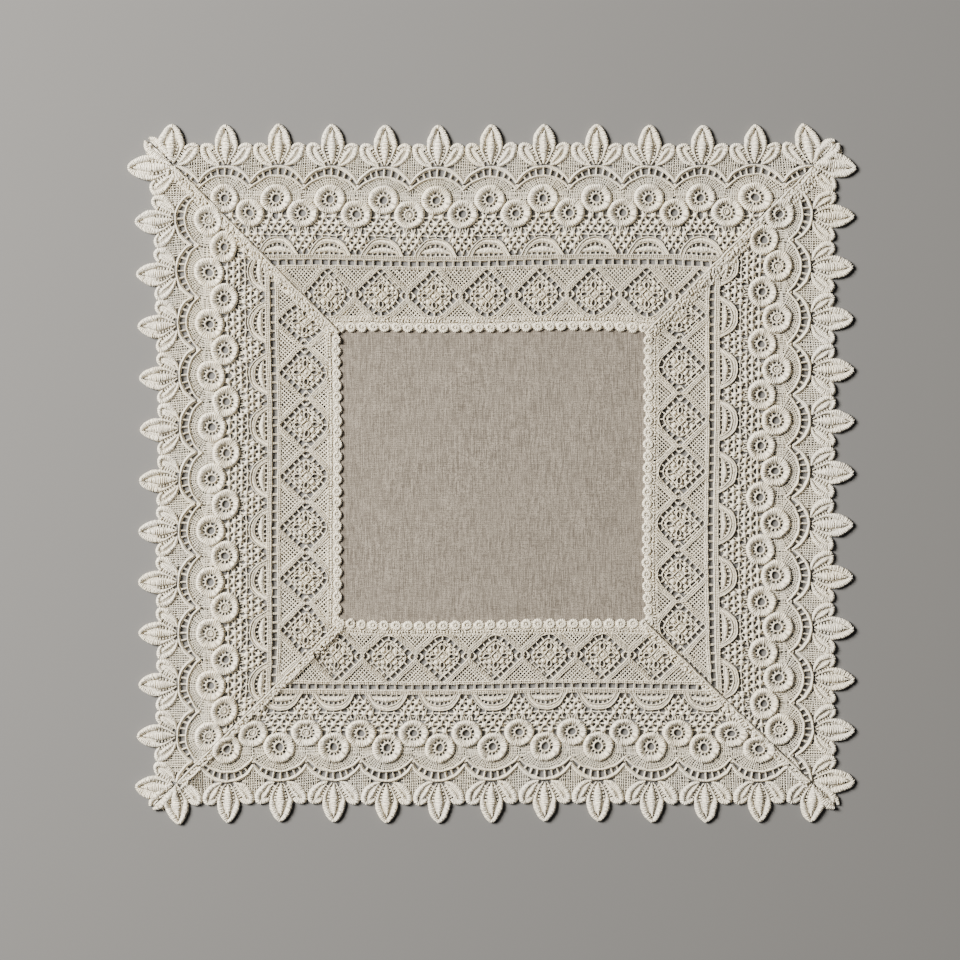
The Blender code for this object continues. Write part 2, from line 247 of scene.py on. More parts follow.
def linen_mesh():
    """The cloth as a thin closed sheet: its top swells a little where it shows, and its foot is flat."""
    edge = np.minimum(linen_half[0] - abs(columns), linen_half[1] - abs(rows))
    swell = LINEN_SWELL * uneven(columns, rows, SWELL_LENGTH, 5)
    top = (LINEN_TOP + swell * np.clip((edge - LINEN_UNDER_LACE) / SWELL_FADE, 0, 1)).ravel()
    flat = np.stack([linen_x - MIDDLE[0], linen_y - MIDDLE[1]], axis=-1).reshape(-1, 2)
    count = len(flat)
    foot = np.full(count, LINEN_FOOT)
    points = np.vstack([np.column_stack([flat, top]), np.column_stack([flat, foot])])
    index = np.arange(count).reshape(columns.shape)
    face = np.stack([index[:-1, :-1], index[:-1, 1:], index[1:, 1:], index[1:, :-1]], axis=-1).reshape(-1, 4)
    rim = np.concatenate([index[0, :-1], index[:-1, -1], index[-1, :0:-1], index[:0:-1, 0]])
    after = np.roll(rim, -1)
    walls = np.column_stack([rim + count, after + count, after, rim])
    made = bpy.data.meshes.new("linen_cloth")
    made.from_pydata((points * MM).tolist(), [], np.vstack([face, face[:, ::-1] + count, walls]).tolist())
    made.shade_smooth()
    made.set_sharp_from_angle(angle=math.radians(LINEN_CREASE))
    map_flat(made)
    return made


linen = add_object("linen_cloth", linen_mesh(), linen_material())
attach(linen, "root")
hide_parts("linen_centre")

# ----------
# The thread of the lace: warm white cotton, stitched by machine into cords, pads and bars that hold each
# other once the ground they were sewn on is dissolved. Every strand is a closed tube with a flat back.

# The height of the flat back, and the strands' sections: how far across and how high, as shares of the whole.
BACK = 0.15
ROUND = ((-1, 0.0), (-0.86, 0.58), (0, 1), (0.86, 0.58), (1, 0.0))
THIN = ((-1, 0.1), (-0.55, 0.95), (0.55, 0.95), (1, 0.1))
SATIN = ((-1, 0.0), (-0.94, 0.5), (-0.52, 0.92), (0, 1), (0.52, 0.92), (0.94, 0.5), (1, 0.0))
PAD = ((1.0, 0.0), (0.93, 0.55), (0.55, 0.93))
# The length of one satin stitch, and how deep the groove between two is.
STITCH = 0.92
RIB_DEPTH = 0.34


class Stitching:
    """The strands of one length of lace as it is stitched: u is along it and v out from its beads, in mm.

    What is padded goes to raised, which becomes a piece of its own.
    """

    def __init__(self, seed, raised=None):
        self.draw = np.random.default_rng(seed)
        self.raised = raised
        self.points = []
        self.count = 0
        self.faces = []
        self.grain = []

    def vary(self, low, high, shape=None):
        return self.draw.uniform(low, high, shape)

    def keep(self, points, *layers):
        """Adds points of shape (n, 3), and layers of faces, each with the thread's grain at its corners."""
        for faces, grain in layers:
            self.faces.append(faces + self.count)
            self.grain.append(grain)
        self.points.append(points)
        self.count += len(points)

    def strands(self, paths, wide, high, profile=ROUND, closed=False):
        """Strands along paths of shape (strands, steps, 2), each step with its width and its height."""
        paths = np.asarray(paths, float)
        paths = paths[None] if paths.ndim == 2 else paths
        many, steps = paths.shape[:2]
        shape = np.asarray(profile, float)
        sides = len(shape)
        wide = np.broadcast_to(wide, (many, steps))
        high = np.broadcast_to(high, (many, steps))
        ahead = (np.roll(paths, -1, 1) - np.roll(paths, 1, 1)) if closed else np.gradient(paths, axis=1)
        ahead /= np.maximum(np.linalg.norm(ahead, axis=2, keepdims=True), 1e-9)
        left = np.stack([-ahead[..., 1], ahead[..., 0]], axis=-1)
        reach = wide[..., None] / 2 * shape[:, 0]
        flat = paths[:, :, None] + left[:, :, None] * reach[..., None]
        rise = BACK + (high[..., None] - BACK) * shape[:, 1]
        points = np.concatenate([flat, rise[..., None]], axis=-1)
        index = np.arange(many * steps * sides).reshape(many, steps, sides)
        here = index if closed else index[:, :-1]
        there = np.roll(index, -1, 1) if closed else index[:, 1:]
        walls = np.stack([here, there, np.roll(there, -1, 2), np.roll(here, -1, 2)], axis=-1)
        gone = np.linalg.norm(np.roll(paths, -1, 1) - paths, axis=2)
        passed = np.cumsum(np.concatenate([np.zeros((many, 1)), gone], axis=1), axis=1)
        first = np.broadcast_to(passed[:, : walls.shape[1], None], walls.shape[:3])
        last = np.broadcast_to(passed[:, 1 : walls.shape[1] + 1, None], walls.shape[:3])
        side = np.broadcast_to(np.arange(sides), walls.shape[:3]) * 0.3
        grain = np.stack([first, side, last, side, last, side + 0.3, first, side + 0.3], axis=-1)
        layers = [(walls.reshape(-1, 4), grain.reshape(-1, 4, 2))]
        if not closed:
            ends = np.concatenate([index[:, 0], index[:, -1, ::-1]])
            layers.append((ends, np.zeros((*ends.shape, 2))))
        self.keep(points.reshape(-1, 3), *layers)

    def bars(self, starts, ends, wide=0.42, high=0.85, profile=THIN, flare=0.0):
        """Straight bars, slightly uneven in width; flare is how much wider and higher each is at its ends."""
        starts, ends = np.asarray(starts, float).reshape(-1, 2), np.asarray(ends, float).reshape(-1, 2)
        if len(starts) == 0:
            return
        share = np.linspace(0, 1, 3 if flare else 2)
        paths = starts[:, None] * (1 - share[:, None]) + ends[:, None] * share[:, None]
        widths = wide * self.vary(0.85, 1.15, (len(starts), 1))
        spread = flare * np.abs(2 * share - 1)
        self.strands(paths, widths * (1 + spread), high * (1 + spread / 4), profile)

    def pads(self, centres, radius, high, sides=8, ratio=1.0, turn=0.0, profile=PAD):
        """Round or oval domes: ratio is their length across to along, turn the angle of their long way."""
        centres = np.asarray(centres, float).reshape(-1, 2)
        if len(centres) == 0:
            return
        many = len(centres)
        radius = np.broadcast_to(radius, many)[:, None, None]
        high = np.broadcast_to(high, many)
        turn = np.broadcast_to(turn, many)[:, None, None]
        angle = np.arange(sides) * 2 * math.pi / sides
        shape = np.asarray(profile, float)
        size = shape[:, 0][None, :, None]
        a, b = radius * size * np.cos(angle), radius * ratio * size * np.sin(angle)
        u = centres[:, 0, None, None] + a * np.cos(turn) - b * np.sin(turn)
        v = centres[:, 1, None, None] + a * np.sin(turn) + b * np.cos(turn)
        z = BACK + (high[:, None, None] - BACK) * shape[:, 1][None, :, None] * np.ones(sides)
        layers = len(shape)
        rings = np.stack([u, v, z], axis=-1).reshape(many, layers * sides, 3)
        tip = np.column_stack([centres, high])[:, None]
        points = np.concatenate([rings, tip], axis=1)
        index = np.arange(many * (layers * sides + 1)).reshape(many, -1)
        ring = index[:, :-1].reshape(many, layers, sides)
        lower, upper = ring[:, :-1], ring[:, 1:]
        walls = np.stack([lower, np.roll(lower, -1, 2), np.roll(upper, -1, 2), upper], axis=-1).reshape(-1, 4)
        top = np.broadcast_to(index[:, -1:], (many, sides))
        cap = np.stack([ring[:, -1], np.roll(ring[:, -1], -1, 1), top], axis=-1).reshape(-1, 3)
        foot = ring[:, 0, ::-1]
        flat = points.reshape(-1, 3)
        self.keep(flat, *[(faces, flat[faces][..., :2] * (1.0, 0.6)) for faces in (walls, cap, foot)])

    def mesh(self):
        """All the strands as one bmesh."""
        data = bpy.data.meshes.new("stitching")
        points = np.vstack(self.points)
        sizes = np.concatenate([np.full(len(faces), faces.shape[1]) for faces in self.faces])
        corners = np.concatenate([faces.ravel() for faces in self.faces])
        for parts, count in ((data.vertices, points), (data.loops, corners), (data.polygons, sizes)):
            parts.add(len(count))
        write(data.vertices, "co", points)
        write(data.loops, "vertex_index", corners, np.int32)
        write(data.polygons, "loop_start", np.cumsum(sizes) - sizes, np.int32)
        grain = np.concatenate([part.reshape(-1, 2) for part in self.grain])
        write(data.uv_layers.new(name="grain").data, "uv", grain)
        data.update(calc_edges=True)
        made = bmesh.new()
        made.from_mesh(data)
        bpy.data.meshes.remove(data)
        return made


def arc(u, v, radius, start, end, steps, tall=1.0):
    """Points on an arc about (u, v), its angles in degrees from +u; tall is its height to its width."""
    angle = np.radians(np.linspace(start, end, steps + 1))
    return np.column_stack([u + radius * np.cos(angle), v + radius * tall * np.sin(angle)])


def ring_path(u, v, radius, steps, tall=1.0):
    return arc(u, v, radius, 0, 360, steps, tall)[:-1]


def along(places, v):
    """Points at these places along the length, all at v."""
    return np.column_stack([places, np.full(len(places), v)])


def straight(low, high, v):
    """A straight line along the length, with a point in its middle."""
    return along([low, (low + high) / 2, high], v)


def eased(points, step, closed=False):
    """A smooth curve through the points, with a point about every step of its length."""
    points = np.asarray(points, float)
    before, after = (points[-1:], points[:2]) if closed else (points[:1], points[-1:])
    held = np.vstack([before, points, after])
    parts = []
    for p0, p1, p2, p3 in zip(held, held[1:], held[2:], held[3:]):
        t = np.linspace(0, 1, 12, endpoint=False)[:, None]
        square = (2 * p0 - 5 * p1 + 4 * p2 - p3) * t**2
        parts.append(0.5 * (2 * p1 + (p2 - p0) * t + square + (3 * p1 - p0 - 3 * p2 + p3) * t**3))
    line = np.vstack([*parts, points[:1] if closed else points[-1:]])
    gone = np.concatenate([[0], np.cumsum(np.linalg.norm(np.diff(line, axis=0), axis=1))])
    count = max(int(round(gone[-1] / step)), 3)
    at = np.linspace(0, gone[-1], count + 1)
    at = at[:-1] if closed else at
    return np.column_stack([np.interp(at, gone, line[:, 0]), np.interp(at, gone, line[:, 1])])


def ribbed(work, count, depth=RIB_DEPTH):
    """A factor a step: a groove between every two stitches, and thicker and thinner runs of them."""
    grooves = 1 - depth * (np.arange(count) % 2) * work.vary(0.6, 1.05, count)
    every = np.arange(0, count + 3, 3)
    return grooves * np.interp(np.arange(count), every, work.vary(0.93, 1.06, len(every)))


def satin(work, points, wide, high, profile=SATIN):
    """A satin-stitched band through the points; wide and high are for all of it, or a value for each."""
    path = eased(points, STITCH / 2)
    at = np.linspace(0, 1, len(path))
    wide, high = (
        np.interp(at, np.linspace(0, 1, len(each)), each) if np.ndim(each) else np.full(len(path), each)
        for each in (wide, high)
    )
    ribs = ribbed(work, len(path))
    work.raised.strands(path, wide * (0.72 + 0.28 * ribs), BACK + (high - BACK) * ribs, profile)


def cord(work, points, wide, high, step=1.0, closed=False, profile=ROUND):
    """A plain cord through the points, slightly uneven."""
    path = eased(points, step, closed)
    width = wide * work.vary(0.9, 1.1, len(path))
    work.strands(path, width, high * work.vary(0.95, 1.05, len(path)), profile, closed)


def mirrored(section):
    return [(-a, b) for a, b in section[::-1]]


def moved(points, u, v=0.0, side=1, fit=1.0):
    """The points moved to (u, v), mirrored in u where side is -1, and fitted to the pitch."""
    return np.asarray(points, float) * (side * fit, 1) + (u, v)


def arched(half):
    """The whole of a line that is given from its foot at +u to its crest."""
    half = np.asarray(half, float)
    return np.vstack([half, half[-2::-1] * (-1, 1)])


def net(work, inside, box, angle, pitch, wide, high, rough=0.0, overlap=0.25):
    """Threads at this angle and pitch wherever inside(u, v) holds in the box (u0, v0, u1, v1).

    They are up to rough degrees out of true, and run on by overlap at both ends.
    """
    middle = np.array([(box[0] + box[2]) / 2, (box[1] + box[3]) / 2])
    reach = math.hypot(box[2] - box[0], box[3] - box[1]) / 2
    ahead = np.array([math.cos(math.radians(angle)), math.sin(math.radians(angle))])
    across = np.array([-ahead[1], ahead[0]])
    rows = np.arange(-reach, reach, pitch)
    rows = rows + work.vary(-0.1, 0.1, len(rows)) * pitch
    turned = np.tan(np.radians(work.vary(-rough, rough, len(rows))))
    at = np.arange(-reach, reach, 0.12)
    spots = middle + at[None, :, None] * ahead + (rows[:, None] + turned[:, None] * at)[..., None] * across
    u, v = spots[..., 0], spots[..., 1]
    on = inside(u, v) & (u > box[0]) & (u < box[2]) & (v > box[1]) & (v < box[3])
    on[:, 0] = on[:, -1] = False
    change = np.diff(on.astype(np.int8), axis=1)
    row, first = np.nonzero(change == 1)
    last = np.nonzero(change == -1)[1]
    long = (last - first) > 3
    starts = spots[row, first][long] - overlap * ahead
    ends = spots[row, last][long] + overlap * ahead
    work.bars(starts, ends, wide, high)


# ----------
# The bead edging: round satin beads side by side over the edge of the linen, each a thin padded ring round a
# low heart. A cord behind them and a narrow open tape of knots and ties hold them to the lace.

BEAD_V = 2.3
BEAD_PITCH = 4.9
BEAD_STEPS = 22
BEAD_RING = {"radius": 1.42, "wide": 1.5, "high": 1.42}
BEAD_HEART = {"radius": 0.72, "high": 1.4, "sides": 7}
TAPE_CORDS = ((2.75, 2.9), (5.9, 0.45))
TAPE_KNOTS = ((5.05, 0.55), (6.5, 0.5))
TAPE_PITCH = 1.25
KNOT = ((1.0, 0.0), (0.72, 0.75))


def beads(work, low, high):
    count = int((high - low) / BEAD_PITCH)
    for i in range(count):
        u = (low + high) / 2 + (i - (count - 1) / 2) * BEAD_PITCH
        shift, tall = work.vary(-0.15, 0.15), work.vary(0.9, 1.02)
        path = ring_path(u + shift, BEAD_V, BEAD_RING["radius"], BEAD_STEPS, tall)
        wide = BEAD_RING["wide"] * ribbed(work, BEAD_STEPS, 0.06)
        thick = BEAD_RING["high"] * ribbed(work, BEAD_STEPS, 0.14)
        work.raised.strands(path, wide, thick, SATIN, closed=True)
        work.raised.pads([(u, BEAD_V)], **BEAD_HEART)
        cord(work, arc(u, BEAD_V + 0.25, 2.5, 25, 155, 5), 0.5, 0.95, 1.3)
        feet = along(u + np.array([-2.45, -1.2, 1.2]), 4.2)
        work.bars(feet, feet + ((0.0, 1.5), (0.25, 1.5), (-0.25, 1.5)), 0.6, 0.8)
    for v, wide in TAPE_CORDS:
        cord(work, straight(low, high, v), wide, 0.85, 2.4)
    ties = np.arange(low, high, TAPE_PITCH)
    for (v, wide), shift in zip(TAPE_KNOTS, (0, 0.6)):
        knots = along(ties + shift, v)
        knots = knots + work.vary(-0.15, 0.15, knots.shape)
        work.pads(knots, wide * work.vary(0.85, 1.2, len(knots)), 1.25, 6, profile=KNOT)
    work.bars(along(ties, 4.8), along(ties + 0.3, 6.9), 0.5, 0.8)


# ----------
# The rails: two cords below the ladder and three above it, whipped across with short threads, and a ladder of
# doubled bars between them. They run the whole length, and the diamonds and fans are stitched to them.

# Each cord's place, width and height.
RAIL_CORDS = (
    (26.75, 0.78, 1.25), (27.55, 0.82, 1.45), (30.45, 0.82, 1.45), (31.2, 0.7, 1.2), (31.95, 0.7, 1.3),
)
LADDER_BARS = 6
LADDER_FOOT = 27.8
LADDER_HEAD = 30.2
RAIL_TICK = 0.92
RAIL_TICKS = ((30.9, 32.2), (26.5, 27.8))


def rails(work, low, high):
    for v, wide, tall in RAIL_CORDS:
        cord(work, straight(low, high, v), wide, tall, 1.1)
    ticks = np.arange(low, high, RAIL_TICK)
    ticks = ticks + work.vary(-0.1, 0.1, len(ticks))
    for foot, head in RAIL_TICKS:
        highs = work.vary(1.35, 1.6, (len(ticks), 1))
        work.bars(along(ticks, foot), along(ticks, head), 0.42, highs)


def ladder(work, u, pitch):
    """The ladder's bars over one repeat, each of two threads."""
    rungs = u + (np.arange(LADDER_BARS) - LADDER_BARS / 2) * pitch / LADDER_BARS
    rungs = rungs + work.vary(-0.12, 0.12, LADDER_BARS)
    for shift in (-0.22, 0.22):
        work.bars(along(rungs + shift, LADDER_FOOT), along(rungs + shift, LADDER_HEAD), 0.46, 1.1, ROUND)


# ----------
# The diamonds: thin cords three abreast that cross at each diamond's points, a row of open holes inside them,
# and a stitched rosette in the middle with four open eyes. A fine slanting net fills the corners between.

# The lines of one diamond are given for its half at +u, from its middle, and cords from the inner one out.
DIAMOND_V = 15.5
BAND_TICKS = 13
DIAMOND_HOLES = (
    (0, 10.2), (1.9, 8.3), (4.1, 6.35), (6.05, 4.2), (7.85, 2.15), (9.8, 0), (7.95, -1.95), (6.1, -3.9),
    (3.8, -5.85), (1.45, -7.65),
)
UPPER_CORDS = (
    ((0, 11.5), (1.35, 10.5), (5.0, 6.75), (8.5, 3.3), (10.4, 1.25), (11.7, -0.25)),
    ((0.9, 12.0), (5.0, 7.8), (9.0, 3.95), (11.6, 1.35)),
    ((1.9, 12.1), (5.0, 8.85), (9.3, 4.65), (11.4, 2.6)),
)
LOWER_CORDS = (
    ((11.7, 0.25), (10.45, -1.15), (8.7, -2.8), (5.1, -6.2), (3.2, -7.85), (1.5, -8.7), (0, -8.95)),
    ((11.6, -1.35), (9.0, -3.6), (5.1, -7.2), (3.2, -8.9), (2.2, -9.5)),
    ((11.4, -2.6), (9.4, -4.4), (5.1, -8.25), (4.0, -9.3)),
)
ROSETTE_UPPER = ((7.0, 0), (6.8, 1.1), (5.9, 2.6), (4.3, 4.25), (2.5, 6.1), (1.05, 7.55), (0, 8.5))
ROSETTE_LOWER = ((7.0, 0), (6.8, -0.95), (5.9, -2.2), (4.2, -3.85), (2.45, -5.4), (1.1, -6.5), (0, -6.85))


def band_ticks(work, inner, outer, share):
    """Short threads across a band of cords; share is how much of the inner cord they spread over."""
    inner, outer = eased(inner, 0.25), eased(outer, 0.25)
    at = (np.arange(BAND_TICKS) + 0.5) / BAND_TICKS
    starts = inner[(at * share * (len(inner) - 1)).astype(int)]
    ends = outer[(at * (len(outer) - 1)).astype(int)]
    work.bars(starts, ends, 0.42, work.vary(1.3, 1.62, (BAND_TICKS, 1)))


def diamond(work, u, pitch, shut):
    """One diamond at u; shut is how often the holes of its upper side are halved by a thread."""
    holes = np.array(DIAMOND_HOLES)
    middles = (holes[1:] + holes[:-1]) / 2
    ahead = np.diff(holes, axis=0)
    across = np.column_stack([-ahead[:, 1], ahead[:, 0]]) / np.linalg.norm(ahead, axis=1)[:, None] * 1.05
    for side in (-1, 1):

        def placed(line):
            return moved(line, u, DIAMOND_V, side, pitch / PITCH_X)

        for line in (*UPPER_CORDS, *LOWER_CORDS):
            cord(work, placed(line), 0.64, 1.45, 1.15)
        for band, share in ((UPPER_CORDS, 0.97), (LOWER_CORDS, 0.76)):
            band_ticks(work, placed(band[0]), placed(band[-1]), share)
        for line in (ROSETTE_UPPER, ROSETTE_LOWER):
            cord(work, placed(line), 0.58, 1.25, 1.0)
        places = middles + work.vary(-0.14, 0.14, (len(middles), 1)) * (1, -1)
        work.bars(placed(places - across), placed(places + across), 0.66, 1.1)
        work.pads(placed([(8.35, 0)]), 0.7, 1.15, 7)
        if side > 0 and work.draw.random() < shut:
            cord(work, placed(holes[1:5]), 0.5, 1.0, 1.2)
    work.bars([(u, DIAMOND_V - 6.7)], [(u, DIAMOND_V - 8.9)], 0.7, 1.1)
    rosette(work, u)


EYE_AT = 3.75
PIN_HOLE = 0.62
ROSETTE_PETALS = ((5.0, 3.0), (3.1, 5.0), (6.2, 0.95))
PIN_HOLES = ((3.7, 1.75), (1.75, 3.8), (3.75, 3.7), (0.0, 6.2), (6.1, 0.0), (5.5, 1.9), (1.9, 5.9))


def in_quarters(quarter):
    """The closed line that has this line in each of its quarters, from +u to +v."""
    quarter = np.asarray(quarter, float)
    back = quarter[::-1]
    return np.vstack([quarter, back[1:] * (-1, 1), quarter[1:] * (-1, -1), back[1:-1] * (1, -1)])


def rosette(work, u):
    """A ring, four oval eyes and pads round them, on a slanting net with openings and pin-holes."""
    v = DIAMOND_V
    cord(work, in_quarters([(2.05, 0.0), (1.05, 1.15), (0.0, 2.25)]) + (u, v), 0.6, 1.5, 0.8, closed=True)
    work.pads([(u, v)], 0.95, 1.35, 8)
    for c, s in ((1, 0), (0, 1), (-1, 0), (0, -1)):
        turn = np.array([[c, s], [-s, c]])
        eye = ring_path(0, 0, 1.42, 12, 0.68) @ turn + (u + EYE_AT * c, v + EYE_AT * s)
        work.strands(eye, 0.56, 1.4, ROUND, closed=True)
    for su in (-1, 1):
        for sv in (-1, 1):
            tilt = su * sv * math.pi / 4
            work.pads([(u + su * 2.5, v + sv * 2.4)], 0.85, 1.5, 9, ratio=1.4, turn=tilt)
            petals = np.array(ROSETTE_PETALS) * (su, sv) + (u, v)
            work.pads(petals, 0.64, 1.3, 7, ratio=1.2, turn=tilt)

    def filled(a, b):
        a, b = np.abs(a - u), b - v
        tops = [np.interp(a, *np.array(line)[::-1].T) for line in (ROSETTE_UPPER, ROSETTE_LOWER)]
        on = (b < tops[0] - 0.1) & (b > tops[1] + 0.1)
        b = np.abs(b)
        for broad, tall in ((1.25, 0.85), (0.85, 1.25)):
            at = (EYE_AT, 0) if broad > tall else (0, EYE_AT)
            on &= np.hypot((a - at[0]) / broad, (b - at[1]) / tall) > 1
        for hole in PIN_HOLES:
            on &= np.hypot(a - hole[0], b - hole[1]) > PIN_HOLE
        return on

    box = (u - 7.1, v - 7.0, u + 7.1, v + 8.5)
    for angle in (45, -45):
        net(work, filled, box, angle, 0.92, 0.56, 0.7 + angle / 700, overlap=0.05)


def corner_nets(work, u, pitch):
    """The net above and below the crossing at u + half a pitch."""
    half = pitch / 2
    over = np.array(UPPER_CORDS[-1]) * (pitch / PITCH_X, 1)
    under = np.array(LOWER_CORDS[-1])[::-1] * (pitch / PITCH_X, 1)

    def outside(a, b):
        near = half - np.abs(a - u - half)
        b = b - DIAMOND_V
        return (b > np.interp(near, *over.T) + 0.35) | (b < np.interp(near, *under.T) - 0.35)

    for v0, v1 in ((6.0, 13.2), (17.0, 26.5)):
        box = (u, v0, u + pitch, v1)
        for angle in (47, -47):
            net(work, outside, box, angle, 1.2, 0.5, 0.95 + angle / 800, rough=3)


# ----------
# The fans: each a ribbed band between two cords that arches on the rail, with a row of open holes under it, a
# padded lens, and a row of slits over the rail. Their lines are given for the half at +u, from foot to crest.

FAN_OUTER = ((8.75, 32.1), (7.55, 34.6), (5.65, 37.3), (3.3, 38.95), (0, 39.5))
FAN_BAND = ((7.9, 32.1), (6.85, 34.3), (5.15, 36.55), (3.2, 37.95), (0, 38.5))
FAN_INNER = ((7.05, 32.1), (6.15, 34.1), (4.6, 35.95), (3.0, 36.9), (0, 37.5))
FAN_RUNGS = ((0, 36.0), (2.1, 35.9), (3.75, 35.4), (5.0, 34.6))
FAN_LENS = ((5.9, 33.75), (4.6, 34.1), (3.0, 34.45), (0, 34.7))
FAN_LENS_WIDE = (0.5, 1.4, 2.1, 2.5, 2.1, 1.4, 0.5)
FAN_LENS_HIGH = (0.9, 1.4, 1.65, 1.75, 1.65, 1.4, 0.9)
FAN_POSTS = (-6.1, -4.1, -2.0, 0.0, 2.0, 4.1, 6.1)


def fan(work, u, pitch):
    def placed(line):
        return moved(line, u, fit=pitch / PITCH_X)

    cord(work, placed(arched(FAN_OUTER)), 0.72, 1.7, 0.95)
    cord(work, placed(arched(FAN_INNER)), 0.6, 1.5, 0.95)
    satin(work, placed(arched(FAN_BAND)), 1.35, 1.25)
    rungs = np.array([(side * a, b) for a, b in FAN_RUNGS for side in (-1, 1) if a or side > 0])
    tops = np.column_stack([rungs[:, 0], np.interp(np.abs(rungs[:, 0]), *np.array(FAN_INNER)[::-1].T)])
    rungs[:, 0] += work.vary(-0.15, 0.15, len(rungs))
    work.bars(placed(rungs * (0.93, 1)), placed(tops), 0.6, 1.0)
    satin(work, placed(arched(FAN_LENS)), FAN_LENS_WIDE, FAN_LENS_HIGH)
    cord(work, placed([(-6.4, 33.4), (0, 33.6), (6.4, 33.4)]), 0.5, 1.1, 1.3)
    feet = placed(along(np.array(FAN_POSTS) + work.vary(-0.2, 0.2, len(FAN_POSTS)), 32.0))
    work.bars(feet, feet + (0, 1.6), 0.58, 1.0)


# ----------
# The spotted ground: raised spots in staggered rows, each tied to its neighbours by short bars that flare at
# their ends, so that small round holes are left between. It fills the space between the fans and the rings.

SPOTS = (
    (2.15, 48.6), (0, 45.85), (3.5, 45.85), (1.7, 43.2), (4.8, 43.25), (6.6, 41.0), (9.4, 40.95),
    (7.7, 38.45), (11.05, 38.5), (9.45, 35.75),
)
CROSSINGS = ((0, 40.85), (3.05, 40.65), (11.05, 33.6))
SPOT_RADIUS = 1.24
SPOT_HIGH = 1.75
TIE_REACH = 4.35
TIE_WIDE = 0.64
TIE_FLARE = 1.2
# From a spot, by its number in SPOTS, to a place on what lies beside the ground.
EDGE_TIES = (
    (0, (1.0, 50.3)), (0, (2.85, 50.4)), (0, (5.0, 48.4)), (2, (5.4, 47.4)), (2, (6.0, 45.8)),
    (4, (6.5, 45.3)), (4, (7.9, 43.6)), (5, (7.3, 43.7)), (6, (8.7, 43.9)), (6, (10.1, 44.1)),
    (5, (5.5, 38.6)), (7, (6.1, 38.3)), (7, (6.8, 36.5)), (9, (7.6, 35.9)), (9, (8.5, 33.9)),
)
THIN_TIES = (
    ((9.4, 40.95), (11.05, 42.7)), ((11.05, 42.6), (11.05, 44.3)), ((0, 40.85), (0, 39.3)),
    ((3.05, 40.65), (2.9, 39.1)), ((11.05, 33.6), (11.05, 31.9)),
)


def spotted_ground(work, middles, pitch):
    fit = pitch / PITCH_X
    edge_ties = [(SPOTS[number], end) for number, end in EDGE_TIES]
    places, small = [], []
    for u in middles:
        for side in (-1, 1):
            for kind, spots in ((places, SPOTS), (small, CROSSINGS)):
                # Those in line with a ring belong to both its sides, or to two repeats: once is enough.
                here = [spot for spot in spots if side > 0 or 0 < spot[0] < 11]
                kind.append(moved(here, u, side=side, fit=fit))
            for ties, wide, high in ((edge_ties, 0.66, 0.85), (THIN_TIES, 0.46, 0.9)):
                starts, ends = (moved(row, u, side=side, fit=fit) for row in zip(*ties))
                work.bars(starts, ends, wide, high)
    places, small = np.vstack(places), np.vstack(small)
    places += work.vary(-0.14, 0.14, places.shape)
    turns = work.vary(0, 3, len(places))
    sizes = SPOT_RADIUS * work.vary(0.88, 1.1, len(places))
    highs = SPOT_HIGH * work.vary(0.88, 1.08, len(places))
    work.pads(places, sizes, highs, 8, ratio=0.9, turn=turns)
    work.pads(small, 0.62, 1.2, 6)
    every = np.vstack([places, small])
    near = np.linalg.norm(every[:, None] - every[None], axis=2) < TIE_REACH
    first, second = np.nonzero(np.triu(near, 1))
    broad = second < len(places)
    for these, wide, high, flare in ((broad, TIE_WIDE, 0.9, TIE_FLARE), (~broad, 0.44, 0.85, 0.5)):
        work.bars(every[first[these]], every[second[these]], wide, high, flare=flare)


# ----------
# The rings: heavy padded rings of satin stitch in two staggered rows, highest near their outer edge. Each has
# a thin ring hung inside it on twelve short spokes, round an eyelet, and a few eyelets are stitched over.

LOWER_RING_V = 49.8
UPPER_RING_V = 55.8
RING_REACH = 6.1
RING_MIDDLE = 4.86
RING_TALL = 0.94
RING_WIDE = (2.7, 0.5)
RING_STITCHES = 36
RING_HIGH = 2.45
RING_RIBS = 0.33
RING_SECTION = (
    (-1, 0.0), (-0.96, 0.5), (-0.72, 0.9), (-0.3, 1.0), (0.25, 0.82), (0.72, 0.52), (1, 0.3), (1, 0.0),
)
SPOKES = 12
EYELET_RADIUS = 1.9
SPOKE_REACH = (2.1, 3.6)
CLOSING_RADIUS = 0.88


def ring(work, u, v, stitched_over):
    steps = 2 * RING_STITCHES
    path = ring_path(u, v, RING_MIDDLE, steps, RING_TALL)[::-1]
    ribs = ribbed(work, steps, RING_RIBS)
    turn = np.arange(steps) * 2 * math.pi / steps
    high = RING_HIGH * ribs * (1 + 0.05 * np.sin(turn * 3 + work.vary(0, 6)))
    wide = RING_WIDE[0] + RING_WIDE[1] * np.cos(turn) ** 2
    work.raised.strands(path, wide * (0.84 + 0.16 * ribs), high, mirrored(RING_SECTION), closed=True)
    thin = ring_path(u, v, EYELET_RADIUS, 20)
    work.strands(thin, 0.8, 1.25 * work.vary(0.92, 1.08, 20), ROUND, closed=True)
    angles = (np.arange(SPOKES) + work.vary(-0.15, 0.15, SPOKES)) * 2 * math.pi / SPOKES
    ways = np.column_stack([np.cos(angles), np.sin(angles)])
    work.bars(*(ways * reach + (u, v) for reach in SPOKE_REACH), 0.58, 0.85)
    if stitched_over:
        closing = work.vary(-0.2, 0.2, 2) + (u, v)
        work.strands(ring_path(*closing, CLOSING_RADIUS, 12), 0.62, 1.15, ROUND, closed=True)
        work.pads([closing], 0.8, 0.7, 10)
        work.bars(closing + ways[::4] * 1.0, closing + ways[::4] * 1.8, 0.5, 0.7)


# ----------
# The scallops: two stout cords that arch over each upper ring from cusp to cusp, with seven rungs between
# them, and a fine net of spokes from the rings up to the inner cord. The outer cord is thinner at its crest.

